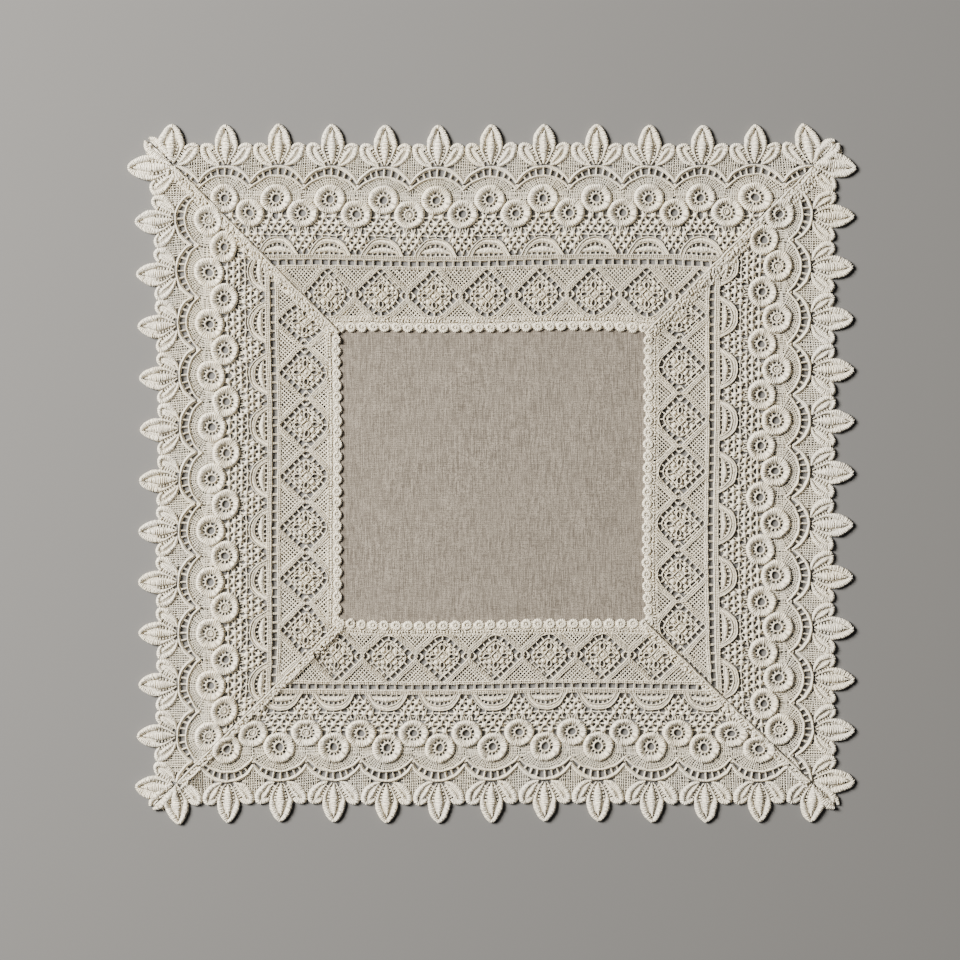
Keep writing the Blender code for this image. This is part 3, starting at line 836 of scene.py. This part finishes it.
OUTER_ARCH = {"crest": 68.85, "foot": 62.4}
INNER_ARCH = {"crest": 64.95, "foot": 59.8}
ARCH_WIDE = (1.3, 1.75, 1.6, 0.95, 1.6, 1.75, 1.3)
RUNG_TILTS = (-44, -30, -15.4, 0, 15.4, 30, 44)
RUNG_LEAN = 0.68
SCALLOP_NET_FOOT = 52.5
SCALLOP_NET_HEAD = 66.0
NET_ARCS = (7.15, 8.0, 8.85, 9.7)
NET_SPOKES = (22, 159, 6.6)
NET_PITCH = 0.96


def arch_circle(arch, half):
    rise = arch["crest"] - arch["foot"]
    radius = (half * half + rise * rise) / (2 * rise)
    return radius, arch["crest"] - radius


def on_arch(u, half, arch, angles):
    """Points on this arch over u, at these angles in degrees from its crest."""
    radius, centre = arch_circle(arch, half)
    angles = np.radians(angles)
    return np.column_stack([u + radius * np.sin(angles), centre + radius * np.cos(angles)])


def arch_path(u, half, arch, steps):
    radius, centre = arch_circle(arch, half)
    sweep = math.degrees(math.asin(half / radius))
    return arc(u, centre, radius, 90 + sweep, 90 - sweep, steps)


def scallop(work, u, pitch):
    half = pitch / 2
    outer = arch_path(u, half, OUTER_ARCH, 24)
    places = np.linspace(0, len(ARCH_WIDE) - 1, len(outer))
    wide = np.interp(places, np.arange(len(ARCH_WIDE)), ARCH_WIDE) * work.vary(0.92, 1.08, len(outer))
    work.strands(outer, wide, 1.75 * work.vary(0.94, 1.06, len(outer)), ROUND)
    cord(work, arch_path(u, half, INNER_ARCH, 16), 1.1, 1.7, 0.85)
    tilt = np.array(RUNG_TILTS) + work.vary(-1, 1, len(RUNG_TILTS))
    feet = on_arch(u, half, INNER_ARCH, tilt * RUNG_LEAN)
    work.bars(feet, on_arch(u, half, OUTER_ARCH, tilt), 0.85, 1.3, ROUND)
    work.pads([(u - half, 61.2)], 0.75, 1.2, 7, ratio=0.75)
    scallop_net(work, u, half)


def scallop_net(work, u, half):
    """Arcs and spokes round the upper ring, and a square net between it and the lower rings."""
    arch_radius, arch_centre = arch_circle(INNER_ARCH, half)

    def within(a, b):
        under = np.hypot(a - u, b - arch_centre) < arch_radius - 0.45
        off_upper = np.hypot(a - u, b - UPPER_RING_V) > RING_REACH - 0.1
        off_lower = np.hypot(np.abs(a - u) - half, b - LOWER_RING_V) > RING_REACH - 0.1
        return under & off_upper & off_lower & (b > SCALLOP_NET_FOOT)

    for radius in NET_ARCS:
        line = arc(u, UPPER_RING_V, radius, 0, 180, 40)
        shown = within(line[:, 0], line[:, 1])
        for run in np.split(np.arange(len(line)), np.nonzero(np.diff(shown.astype(int)))[0] + 1):
            if shown[run[0]] and len(run) > 3:
                cord(work, line[run], 0.36, 0.85, 1.8, profile=THIN)
    angles = np.radians(np.arange(*NET_SPOKES))
    angles = angles + work.vary(-0.02, 0.02, len(angles))
    ways = np.column_stack([np.cos(angles), np.sin(angles)])
    reach = np.arange(RING_REACH - 0.3, 12, 0.1)
    tips = []
    for way in ways:
        line = way * reach[:, None] + (u, UPPER_RING_V)
        inside = within(line[:, 0], line[:, 1])
        tips.append(line[np.nonzero(inside)[0][-1]] + way * 0.3 if inside.any() else line[0])
    work.bars(ways * reach[0] + (u, UPPER_RING_V), tips, 0.42, 1.0)

    def low_corner(a, b):
        return within(a, b) & (b < UPPER_RING_V + 0.42 * np.abs(a - u))

    box = (u - half, SCALLOP_NET_FOOT, u + half, SCALLOP_NET_HEAD)
    for angle, wide, high in ((90, 0.42, 0.95), (0, 0.4, 0.85)):
        net(work, low_corner, box, angle, NET_PITCH, wide, high, rough=3)


# ----------
# The palmettes: the outer edge. Each is a pointed leaf with a padded vein between two satin borders, and a
# petal on either side. Small holes are left along the veins, and a fine kite of net joins two palmettes.

# Each satin line's points: where they are at the +u side, and the stitching's width and height there.
LEAF_BORDER = (
    (0.75, 70.0, 0.5, 1.2), (1.5, 71.0, 0.6, 1.4), (2.3, 72.4, 0.7, 1.45), (3.05, 74.1, 0.85, 1.5),
    (3.65, 75.8, 1.25, 1.6), (3.85, 77.2, 1.9, 1.8), (3.6, 78.7, 2.7, 2.05), (3.25, 80.4, 2.9, 2.1),
    (2.65, 82.1, 2.85, 2.05), (1.9, 83.7, 2.6, 2.0), (1.05, 85.0, 2.2, 1.95), (0.3, 86.0, 1.4, 1.7),
)
LEAF_SECTION = ((-1, 0.0), (-0.95, 0.58), (-0.62, 0.95), (-0.1, 1.0), (0.5, 0.8), (0.92, 0.42), (1, 0.0))
VEIN = (
    (0, 70.1, 0.4, 1.0), (0, 71.2, 1.5, 1.5), (0, 72.7, 2.5, 1.9), (0, 74.2, 3.1, 2.1), (0, 75.7, 3.6, 2.25),
    (0, 77.2, 3.7, 2.3), (0, 78.7, 3.5, 2.3), (0, 80.1, 3.0, 2.25), (0, 81.5, 2.3, 2.15),
    (0, 82.8, 1.4, 1.95), (0, 84.0, 0.4, 1.5),
)
PETAL_BORDER = (
    (2.6, 69.5, 0.8, 1.3), (4.3, 69.9, 1.3, 1.6), (6.1, 70.7, 1.8, 1.85), (7.8, 72.1, 2.2, 2.0),
    (9.1, 73.9, 2.5, 2.1), (9.7, 75.8, 2.65, 2.15), (9.6, 77.2, 2.6, 2.1), (8.6, 77.95, 2.3, 2.0),
    (7.2, 77.9, 1.9, 1.85), (5.9, 77.2, 1.7, 1.7), (5.1, 76.3, 1.2, 1.4),
)
PETAL_VEIN = (
    (2.9, 70.1, 0.6, 1.1), (3.9, 71.2, 1.2, 1.5), (5.0, 72.7, 1.75, 1.8), (6.0, 74.2, 2.0, 1.9),
    (6.9, 75.4, 1.85, 1.85), (7.6, 76.2, 1.0, 1.5),
)
LEAF_HOLES = ((1.0, 71.4), (1.3, 72.5), (1.65, 73.8), (1.95, 75.2), (2.2, 76.5), (2.4, 77.8))
PETAL_HOLES = ((2.3, 70.9), (2.9, 71.8), (3.45, 72.8), (4.15, 73.9), (4.65, 75.0), (5.2, 75.9))
PALMETTE_GROUNDS = (
    (((1.8, 77.9), (1.6, 80.2), (0.9, 82.6)), 1.2),
    (((4.6, 71.2), (6.7, 73.4), (8.0, 76.2)), 1.5),
    (((6.2, 75.8), (8.2, 77.2)), 2.2),
    (((4.0, 76.2), (4.6, 78.0)), 1.0),
)
KITE = ((0.0, 75.2), (1.6, 72.8), (4.9, 69.3), (3.4, 67.2), (1.7, 65.6), (0.0, 63.2))


def satin_line(work, line, u, side=1, profile=SATIN):
    """Satin stitching along one line of the tables above, at u."""
    a, b, wide, high = np.array(line).T
    satin(work, moved(np.column_stack([a, b]), u, side=side), wide, high, profile)


def between(holes):
    """The middles between pin-holes in a row, and the way that each tie lies there, across the row."""
    holes = np.array(holes)
    ahead = np.diff(holes, axis=0)
    across = np.column_stack([-ahead[:, 1], ahead[:, 0]]) / np.linalg.norm(ahead, axis=1)[:, None]
    return (holes[1:] + holes[:-1]) / 2, across


def palmette(work, u):
    satin_line(work, VEIN, u)
    work.raised.pads([(u, 85.7)], 0.85, 1.75, 7)
    for side in (-1, 1):
        satin_line(work, LEAF_BORDER, u, side, LEAF_SECTION if side > 0 else mirrored(LEAF_SECTION))
        satin_line(work, PETAL_BORDER, u, side)
        satin_line(work, PETAL_VEIN, u, side)
        for holes, reach in ((LEAF_HOLES, 0.62), (PETAL_HOLES, 0.75)):
            ties, across = between(holes)
            ties = moved(ties, u, side=side)
            across = across * (side * reach, reach)
            work.bars(ties - across, ties + across, 0.88, 0.9)
        for ground, wide in PALMETTE_GROUNDS:
            work.strands(eased(moved(ground, u, side=side), 1.3), wide, 0.95, THIN)


def kite_net(work, u):
    """The net between two palmettes, in the shape of a kite."""
    reach, v = np.array(KITE)[::-1].T

    def within(a, b):
        return np.abs(a - u) < np.interp(b, v, reach, left=0, right=0)

    box = (u - 5, 62.8, u + 5, 76.6)
    net(work, within, box, 90, NET_PITCH, 0.44, 1.05, rough=3)
    net(work, within, box, 0, 1.05, 0.42, 0.8, rough=10)


# ----------
# The four lengths: cut to their mitres, the allowance folded back under one side of each mitre, turned to
# their sides of the linen and laid. Each laps over the linen's edge and comes down beyond it.

# Each length's turn, how far its pattern is slipped along it, the ends with an allowance under them, how far
# in from the mitre the doubled stitches show, its seed, how often a diamond's holes are halved, how far its
# diamonds are shifted, and the rings that are stitched over, by row and number from the middle.
LENGTHS = {
    "lace_top": {
        "turn": 0, "slip": -0.9, "folded": (), "fold": 0, "seed": 11, "shut": 0.7, "diamonds": -0.5,
        "over": (("lower", -2), ("lower", 4)),
    },
    "lace_left": {
        "turn": 90, "slip": -1.5, "folded": (1,), "fold": 4.4, "seed": 12, "shut": 0.05, "diamonds": 0.35,
        "over": (("upper", 5), ("upper", -3), ("upper", -5), ("lower", -3), ("lower", -5)),
    },
    "lace_bottom": {
        "turn": 180, "slip": -0.2, "folded": (-1, 1), "fold": 4.2, "seed": 13, "shut": 0.6, "diamonds": -1.6,
        "over": (("lower", 4), ("lower", 3)),
    },
    "lace_right": {
        "turn": 270, "slip": -0.8, "folded": (-1,), "fold": 6.6, "seed": 14, "shut": 0.7, "diamonds": -0.3,
        "over": (("upper", -4), ("upper", -3), ("upper", -2), ("upper", 5)),
    },
}
# How far each length was pulled out of true as it was sewn on, along it and outward, in tenths of a mm, at
# four rows of the pattern and five places along it; nothing at the mitres, where it is pinned.
DRIFT_ROWS = (20.0, 52.8, 65.0, 78.0)
DRIFT_PLACES = (-105, -55, 0, 55, 105)
DRIFT_FADE = 14.0
DRIFT = {
    "lace_top": (
        ((-3, 5), (-7, 6), (-2, 1), (-1, 9), (-5, 13)),
        ((-16, -3), (-3, -5), (-1, -1), (0, 2), (-21, 6)),
        ((-3, -1), (2, -2), (2, 0), (-6, 3), (-18, 7)),
        ((6, -4), (8, -1), (4, 2), (-5, 0), (-14, -3)),
    ),
    "lace_left": (
        ((6, -2), (13, -7), (8, -2), (11, 3), (7, -2)),
        ((-8, -8), (2, -1), (5, -6), (1, -1), (-5, -9)),
        ((5, 3), (6, 6), (10, 2), (8, 6), (9, 8)),
        ((5, -5), (7, 1), (-1, 0), (-8, 0), (-8, 1)),
    ),
    "lace_bottom": (
        ((1, 3), (2, 3), (4, 7), (11, 8), (3, 11)),
        ((10, -16), (5, -16), (-3, -11), (-6, -11), (14, -14)),
        ((4, -1), (3, -5), (3, -2), (-4, 2), (-2, 2)),
        ((3, -2), (3, 3), (0, 6), (-9, 5), (-9, 2)),
    ),
    "lace_right": (
        ((-15, 1), (-18, -2), (-11, -1), (-4, -4), (-6, -9)),
        ((-4, 2), (-2, -5), (-13, -9), (-3, -5), (-7, -3)),
        ((4, 4), (-2, 3), (-9, 1), (-4, 7), (-9, 10)),
        ((10, 1), (2, 8), (-4, 11), (2, 6), (-1, 1)),
    ),
}
# The mitres: the gap between two lengths, the blunted corner, the allowance folded under and how far it lifts
# what lies on it, the corner petals, and the rolled edge and the lumps of the doubled stitches.
MITRE_GAP = 0.3
CORNER_V = 81.0
CORNER_BLUNT = 1.6
ALLOWANCE = 4.0
ALLOWANCE_RISE = 0.62
ALLOWANCE_SQUASH = 0.42
ALLOWANCE_FOOT = 0.05
CORNER_PETAL = (
    (99.0, 0.9, 0.9, 1.3), (102.5, 1.6, 1.8, 1.7), (106.0, 2.1, 2.6, 1.95), (109.5, 2.1, 2.8, 2.0),
    (111.0, 1.7, 2.5, 1.9), (112.3, 0.9, 1.3, 1.4),
)
FOLD_EDGE = (0.7, 1.35, 1.9)
EDGE_DROP = 0.45
EDGE_ROLL = 0.9
EDGE_HIGH = 0.9
FOLD_LUMPS = 1.25
LUMP = ((1.0, 0.0), (0.75, 0.75))
FOLD_CLEAR = 4.7
FOLD_END_V = 69.0
FOLD_EASE = 1.4
# How the lace lies: lifted where it laps over the linen and down again by LAP_FOOT, lifted a little here and
# there beyond it, and its threads slightly out of place. Edges are creases from LACE_CREASE degrees up.
LAP_RISE = 0.9
LAP_END = 4.4
LAP_FOOT = 8.6
LIE = 0.22
LIE_LENGTH = 30.0
WANDER = 0.13
WANDER_LENGTH = 6.0
LACE_CREASE = 75
# How far the beads and the rails are stitched on past the linen's corner.
BEADS_RUN_ON = 9.0
RAILS_RUN_ON = 41.0


def stitched_length(pitch, length):
    """The whole pattern of one length, a little longer than its mitres need."""
    work = Stitching(length["seed"], raised=Stitching(length["seed"] + 50))
    half = shown_half(pitch)

    def repeats(v, spare, shift=0.0):
        """The number and the centre of each repeat of a motif that reaches into the length."""
        places = [(k, length["slip"] + (k + shift) * pitch) for k in range(-REPEATS, REPEATS)]
        return [(k, u) for k, u in places if abs(u) < half + v + spare]

    beads(work, -half - BEADS_RUN_ON, half + BEADS_RUN_ON)
    rails(work, -half - RAILS_RUN_ON, half + RAILS_RUN_ON)
    for _, u in repeats(28, 10):
        ladder(work, u, pitch)
        fan(work, u, pitch)
        diamond(work, u + length["diamonds"], pitch, length["shut"])
        corner_nets(work, u + length["diamonds"], pitch)
    spotted_ground(work, [u for _, u in repeats(45, 12)], pitch)
    rings = []
    for row, v, shift in (("lower", LOWER_RING_V, 0.5), ("upper", UPPER_RING_V, 0.0)):
        for k, u in repeats(v, 14, shift):
            ring(work, u, v, (row, k) in length["over"])
            rings.append((u, v))
    for _, u in repeats(70, 18):
        scallop(work, u, pitch)
        palmette(work, u)
        kite_net(work, u + pitch / 2)
    for end in (-1, 1):
        corner_petal(work, half, end)
    for end in length["folded"]:
        fold_stitches(work, half, end, length["fold"], rings)
    return work


def cut(mesh, half, end, inset, side=1):
    """Cuts away what is beyond a line inset from this end's mitre, or within it where side is -1."""
    bisect(mesh, (end * half, 0), (end * side, -side), inset)


def blunt(mesh, half, end):
    """Cuts off the corner's tip."""
    bisect(mesh, (end * (half + CORNER_V), CORNER_V), (end, 1), CORNER_BLUNT)


def bisect(mesh, point, normal, inset):
    """Cuts away what is outward of a line, inset from a point on it, and closes the cut ends."""
    normal = Vector((*normal, 0)).normalized()
    at = Vector((*point, 0)) - normal * inset
    parts = [*mesh.verts, *mesh.edges, *mesh.faces]
    bmesh.ops.bisect_plane(mesh, geom=parts, dist=1e-5, plane_co=at, plane_no=normal, clear_outer=True)
    bmesh.ops.holes_fill(mesh, edges=[edge for edge in mesh.edges if edge.is_boundary], sides=0)


def folded_under(whole, half, end):
    """The seam allowance beyond a mitre, folded back under the length and pressed flat."""
    spare = whole.copy()
    far = [face for face in spare.faces if end * face.calc_center_median().x < half - 3 * ALLOWANCE]
    bmesh.ops.delete(spare, geom=far, context="FACES")
    cut(spare, half, end, 0.3, side=-1)
    cut(spare, half, end, -ALLOWANCE)
    blunt(spare, half, end)
    for vert in spare.verts:
        past = (end * vert.co.x - half - vert.co.y) / 2
        vert.co.x -= 2 * past * end
        vert.co.y += 2 * past
        vert.co.z = ALLOWANCE_FOOT + vert.co.z * ALLOWANCE_SQUASH
    bmesh.ops.reverse_faces(spare, faces=spare.faces)
    return spare


def beside_mitre(half, end, at, inset):
    """Points beside this end's mitre: at is how far along it from the linen's corner, inset how far in."""
    ahead = np.array([end, 1]) / math.sqrt(2)
    inward = np.array([-end, 1]) / math.sqrt(2)
    at, inset = np.broadcast_arrays(at, inset)
    return (end * half, 0) + at.reshape(-1, 1) * ahead + inset.reshape(-1, 1) * inward


def corner_petal(work, half, end):
    """Half of the satin petal that two lengths share at their corner, beside the mitre."""
    at, inset, wide, high = np.array(CORNER_PETAL).T
    satin(work, beside_mitre(half, end, at, inset), wide, high)


def fold_stitches(work, half, end, reach, rings):
    """The doubled strip beside a folded mitre: its rolled edge, and the lumps where two layers lie in one."""
    long = FOLD_END_V * math.sqrt(2)
    at = np.arange(2.0, long, 0.8)
    inset, wide, high = FOLD_EDGE
    row = beside_mitre(half, end, at, inset + work.vary(-0.2, 0.2, len(at)))
    work.strands(row, wide * work.vary(0.7, 1.1, len(at)), high * work.vary(0.85, 1.05, len(at)), ROUND)
    at, inset = np.meshgrid(np.arange(3.0, long, FOLD_LUMPS), np.arange(1.8, reach, FOLD_LUMPS))
    at = at + (np.arange(len(at)) % 2)[:, None] * FOLD_LUMPS / 2 + work.vary(-0.4, 0.4, at.shape)
    places = beside_mitre(half, end, at, inset + work.vary(-0.35, 0.35, at.shape))
    places = places[np.linalg.norm(places[:, None] - np.array(rings)[None], axis=2).min(axis=1) > FOLD_CLEAR]
    count = len(places)
    sizes, highs = work.vary(0.8, 1.2, count), work.vary(1.4, 2.2, count)
    work.pads(places, sizes, highs, 7, ratio=0.6, turn=work.draw.normal(0, 0.5, count), profile=LUMP)


def smooth_step(value):
    value = np.clip(value, 0, 1)
    return value * value * (3 - 2 * value)


def drifted(u, v, name, half):
    """How far each point of this length lies out of true, along it and outward."""
    table = np.array(DRIFT[name]) / 10
    row = np.interp(v, DRIFT_ROWS, range(len(DRIFT_ROWS)))
    low = np.minimum(row.astype(int), len(DRIFT_ROWS) - 2)
    share = row - low
    pinned = smooth_step((half + v - abs(u)) / math.sqrt(2) / DRIFT_FADE)
    here = np.arange(len(u))
    for way in (0, 1):
        rows = np.array([np.interp(u, DRIFT_PLACES, line) for line in table[..., way]])
        yield (rows[low, here] * (1 - share) + rows[low + 1, here] * share) * pinned


def take(mesh, part):
    """Adds a bmesh to a mesh's own, and frees it."""
    held = bpy.data.meshes.new("part")
    part.to_mesh(held)
    part.free()
    mesh.from_mesh(held)
    bpy.data.meshes.remove(held)


def laid_mesh(name, layer, work, length, pitch, other_pitch):
    """The mesh of one layer of one length's stitching as it lies."""
    half = shown_half(pitch)
    whole = work.mesh()
    under = [folded_under(whole, half, end) for end in length["folded"]]
    for end in (-1, 1):
        cut(whole, half, end, MITRE_GAP / 2)
        blunt(whole, half, end)
    data = bpy.data.meshes.new(name + layer)
    whole.to_mesh(data)
    whole.free()
    u, v, z = read(data.vertices, "co", 3).astype(float).T
    for end in length["folded"]:
        from_mitre = (half - end * u + v) / math.sqrt(2)
        z = z + ALLOWANCE_RISE * smooth_step((ALLOWANCE + FOLD_EASE / 2 - from_mitre) / FOLD_EASE)
        z = z - EDGE_DROP * smooth_step(1 - from_mitre / EDGE_ROLL) * (z > EDGE_HIGH)
    write(data.vertices, "co", np.column_stack([u, v, z]))
    joined = bmesh.new()
    joined.from_mesh(data)
    for spare in under:
        take(joined, spare)
    joined.to_mesh(data)
    joined.free()
    u, v, z = read(data.vertices, "co", 3).astype(float).T
    z = z + LAP_RISE * smooth_step((LAP_FOOT - v) / (LAP_FOOT - LAP_END))
    lie = np.maximum(uneven(u, v, LIE_LENGTH, length["seed"]), 0) * smooth_step((v - 12) / 20)
    z = z + LIE * lie
    drift_u, drift_v = drifted(u, v, name, half)
    moved_u = u + drift_u + WANDER * uneven(u, v, WANDER_LENGTH, length["seed"] + 1)
    moved_v = v + drift_v + WANDER * uneven(u, v, WANDER_LENGTH, length["seed"] + 2)
    angle = math.radians(length["turn"])
    c, s = round(math.cos(angle)), round(math.sin(angle))
    out = moved_v + shown_half(other_pitch)
    x, y = as_laid(c * moved_u - s * out, s * moved_u + c * out)
    write(data.vertices, "co", np.column_stack([x - MIDDLE[0], y - MIDDLE[1], z]) * MM)
    data.update()
    data.shade_smooth()
    data.set_sharp_from_angle(angle=math.radians(LACE_CREASE))
    map_flat(data)
    return data


# The cotton: its darker colour, mixed in at random as fluff and in bands as painted shade between stitches,
# its pale colour and its warmer cast, how far out in metres the cast fades, the length of its finest
# stitches, and how fine its clouds, fluff and lumps are.
LACE_FLUFF_AND_PAINTED_SHADE = (0.64, 0.57, 0.452)
LACE_LIGHT = (0.94, 0.872, 0.72)
LACE_WARM = (0.925, 0.82, 0.605)
WARM_REACH = (0.075, 0.13)
FINE_STITCH = 0.6
LACE_CLOUDS = 60.0
LACE_FLUFF = 1300.0
LACE_LUMPS = 850.0


def lace_material():
    made, tree, shader = cloth_material("lace_cotton", 0.72, 0.25)
    place = node(tree, "ShaderNodeTexCoord").outputs["Object"]
    grain = node(tree, "ShaderNodeUVMap", uv_map="grain").outputs["UV"]
    fluff = noise(tree, place, LACE_FLUFF, 2.0)
    stitch = rows_of_thread(tree, grain, FINE_STITCH, "X", distortion=1.6)
    away = node(tree, "ShaderNodeVectorMath", {0: place}, operation="ABSOLUTE").outputs[0]
    outward = maths(tree, "MAXIMUM", *node(tree, "ShaderNodeSeparateXYZ", {0: away}).outputs[:2])
    body = mixed(tree, remapped(tree, noise(tree, place, LACE_CLOUDS, 3.0), 0.3, 0.7), LACE_WARM, LACE_LIGHT)
    body = mixed(tree, remapped(tree, outward, *WARM_REACH, 0.75, 0.0), body, LACE_WARM)
    # Fluff darkens the colour at random.
    body = mixed(tree, remapped(tree, fluff, 0.3, 0.58, 0.6, 0.0), body, LACE_FLUFF_AND_PAINTED_SHADE)
    # Painted shade: the bands of the finest stitches darken the colour between stitches.
    body = mixed(tree, remapped(tree, stitch, 0.0, 0.5, 0.45, 0.0), body, LACE_FLUFF_AND_PAINTED_SHADE)
    lumps = noise(tree, place, LACE_LUMPS, 1.0)
    relief = maths(tree, "MULTIPLY_ADD", lumps, 1.1, maths(tree, "ADD", fluff, stitch))
    dress(tree, shader, body, relief, 1.0, 0.0005)
    return made


lace_cotton = lace_material()
for node_name, length in LENGTHS.items():
    along_x = length["turn"] % 180 == 0
    pitch, other_pitch = (PITCH_X, PITCH_Y) if along_x else (PITCH_Y, PITCH_X)
    stitching = stitched_length(pitch, length)
    for layer, work in (("_ground", stitching), ("_raised", stitching.raised)):
        mesh = laid_mesh(node_name, layer, work, length, pitch, other_pitch)
        piece = add_object(node_name + layer, mesh, lace_cotton)
        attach(piece, "root")
        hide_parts(node_name)

# ----------
# The floor, the light and the camera: a plain pale floor, a large soft lamp like a window at the upper left,
# a weak one against it, and a camera straight above the doily, a little off its middle.

FLOOR_COLOUR = (0.096, 0.0925, 0.087, 1)
FLOOR_HALF = 3
CAMERA_MIDDLE = (-4.85, -2.85)
CAMERA_VIEW = 403.2
CAMERA_LENS = 85.0
SENSOR = 36.0

floor_mesh = bpy.data.meshes.new("floor")
floor_corners = [(x * FLOOR_HALF, y * FLOOR_HALF, 0) for x, y in ((-1, -1), (1, -1), (1, 1), (-1, 1))]
floor_mesh.from_pydata(floor_corners, [], [(0, 1, 2, 3)])
floor_finish = bpy.data.materials.new("floor_plain")
floor_finish.use_nodes = True
floor_shader = floor_finish.node_tree.nodes["Principled BSDF"]
floor_shader.inputs["Base Color"].default_value = FLOOR_COLOUR
floor_shader.inputs["Roughness"].default_value = 0.9
floor = add_object("floor", floor_mesh, floor_finish)


def lamp(name, place, size, energy, colour):
    """An area lamp that faces the middle of the doily."""
    light = bpy.data.lights.new(name, "AREA")
    light.size = size
    light.energy = energy
    light.color = colour
    made = bpy.data.objects.new(name, light)
    made.location = place
    made.rotation_euler = (-Vector(place)).to_track_quat("-Z", "Y").to_euler()
    bpy.context.scene.collection.objects.link(made)


lamp("window", (-1.14, 0.53, 1.03), 0.62, 146, (1.0, 0.985, 0.96))
lamp("fill", (0.7, -0.5, 1.6), 1.6, 1.5, (1, 1, 1))
world = bpy.data.worlds.new("room")
world.use_nodes = True
air = world.node_tree.nodes["Background"].inputs
air["Color"].default_value = (1, 0.985, 0.965, 1)
air["Strength"].default_value = 0.055
bpy.context.scene.world = world

view = bpy.data.cameras.new("camera")
view.lens = CAMERA_LENS
view.sensor_width = SENSOR
camera = bpy.data.objects.new("camera", view)
camera.location = (CAMERA_MIDDLE[0] * MM, CAMERA_MIDDLE[1] * MM, CAMERA_VIEW * MM * CAMERA_LENS / SENSOR)
bpy.context.scene.collection.objects.link(camera)
bpy.context.scene.camera = camera
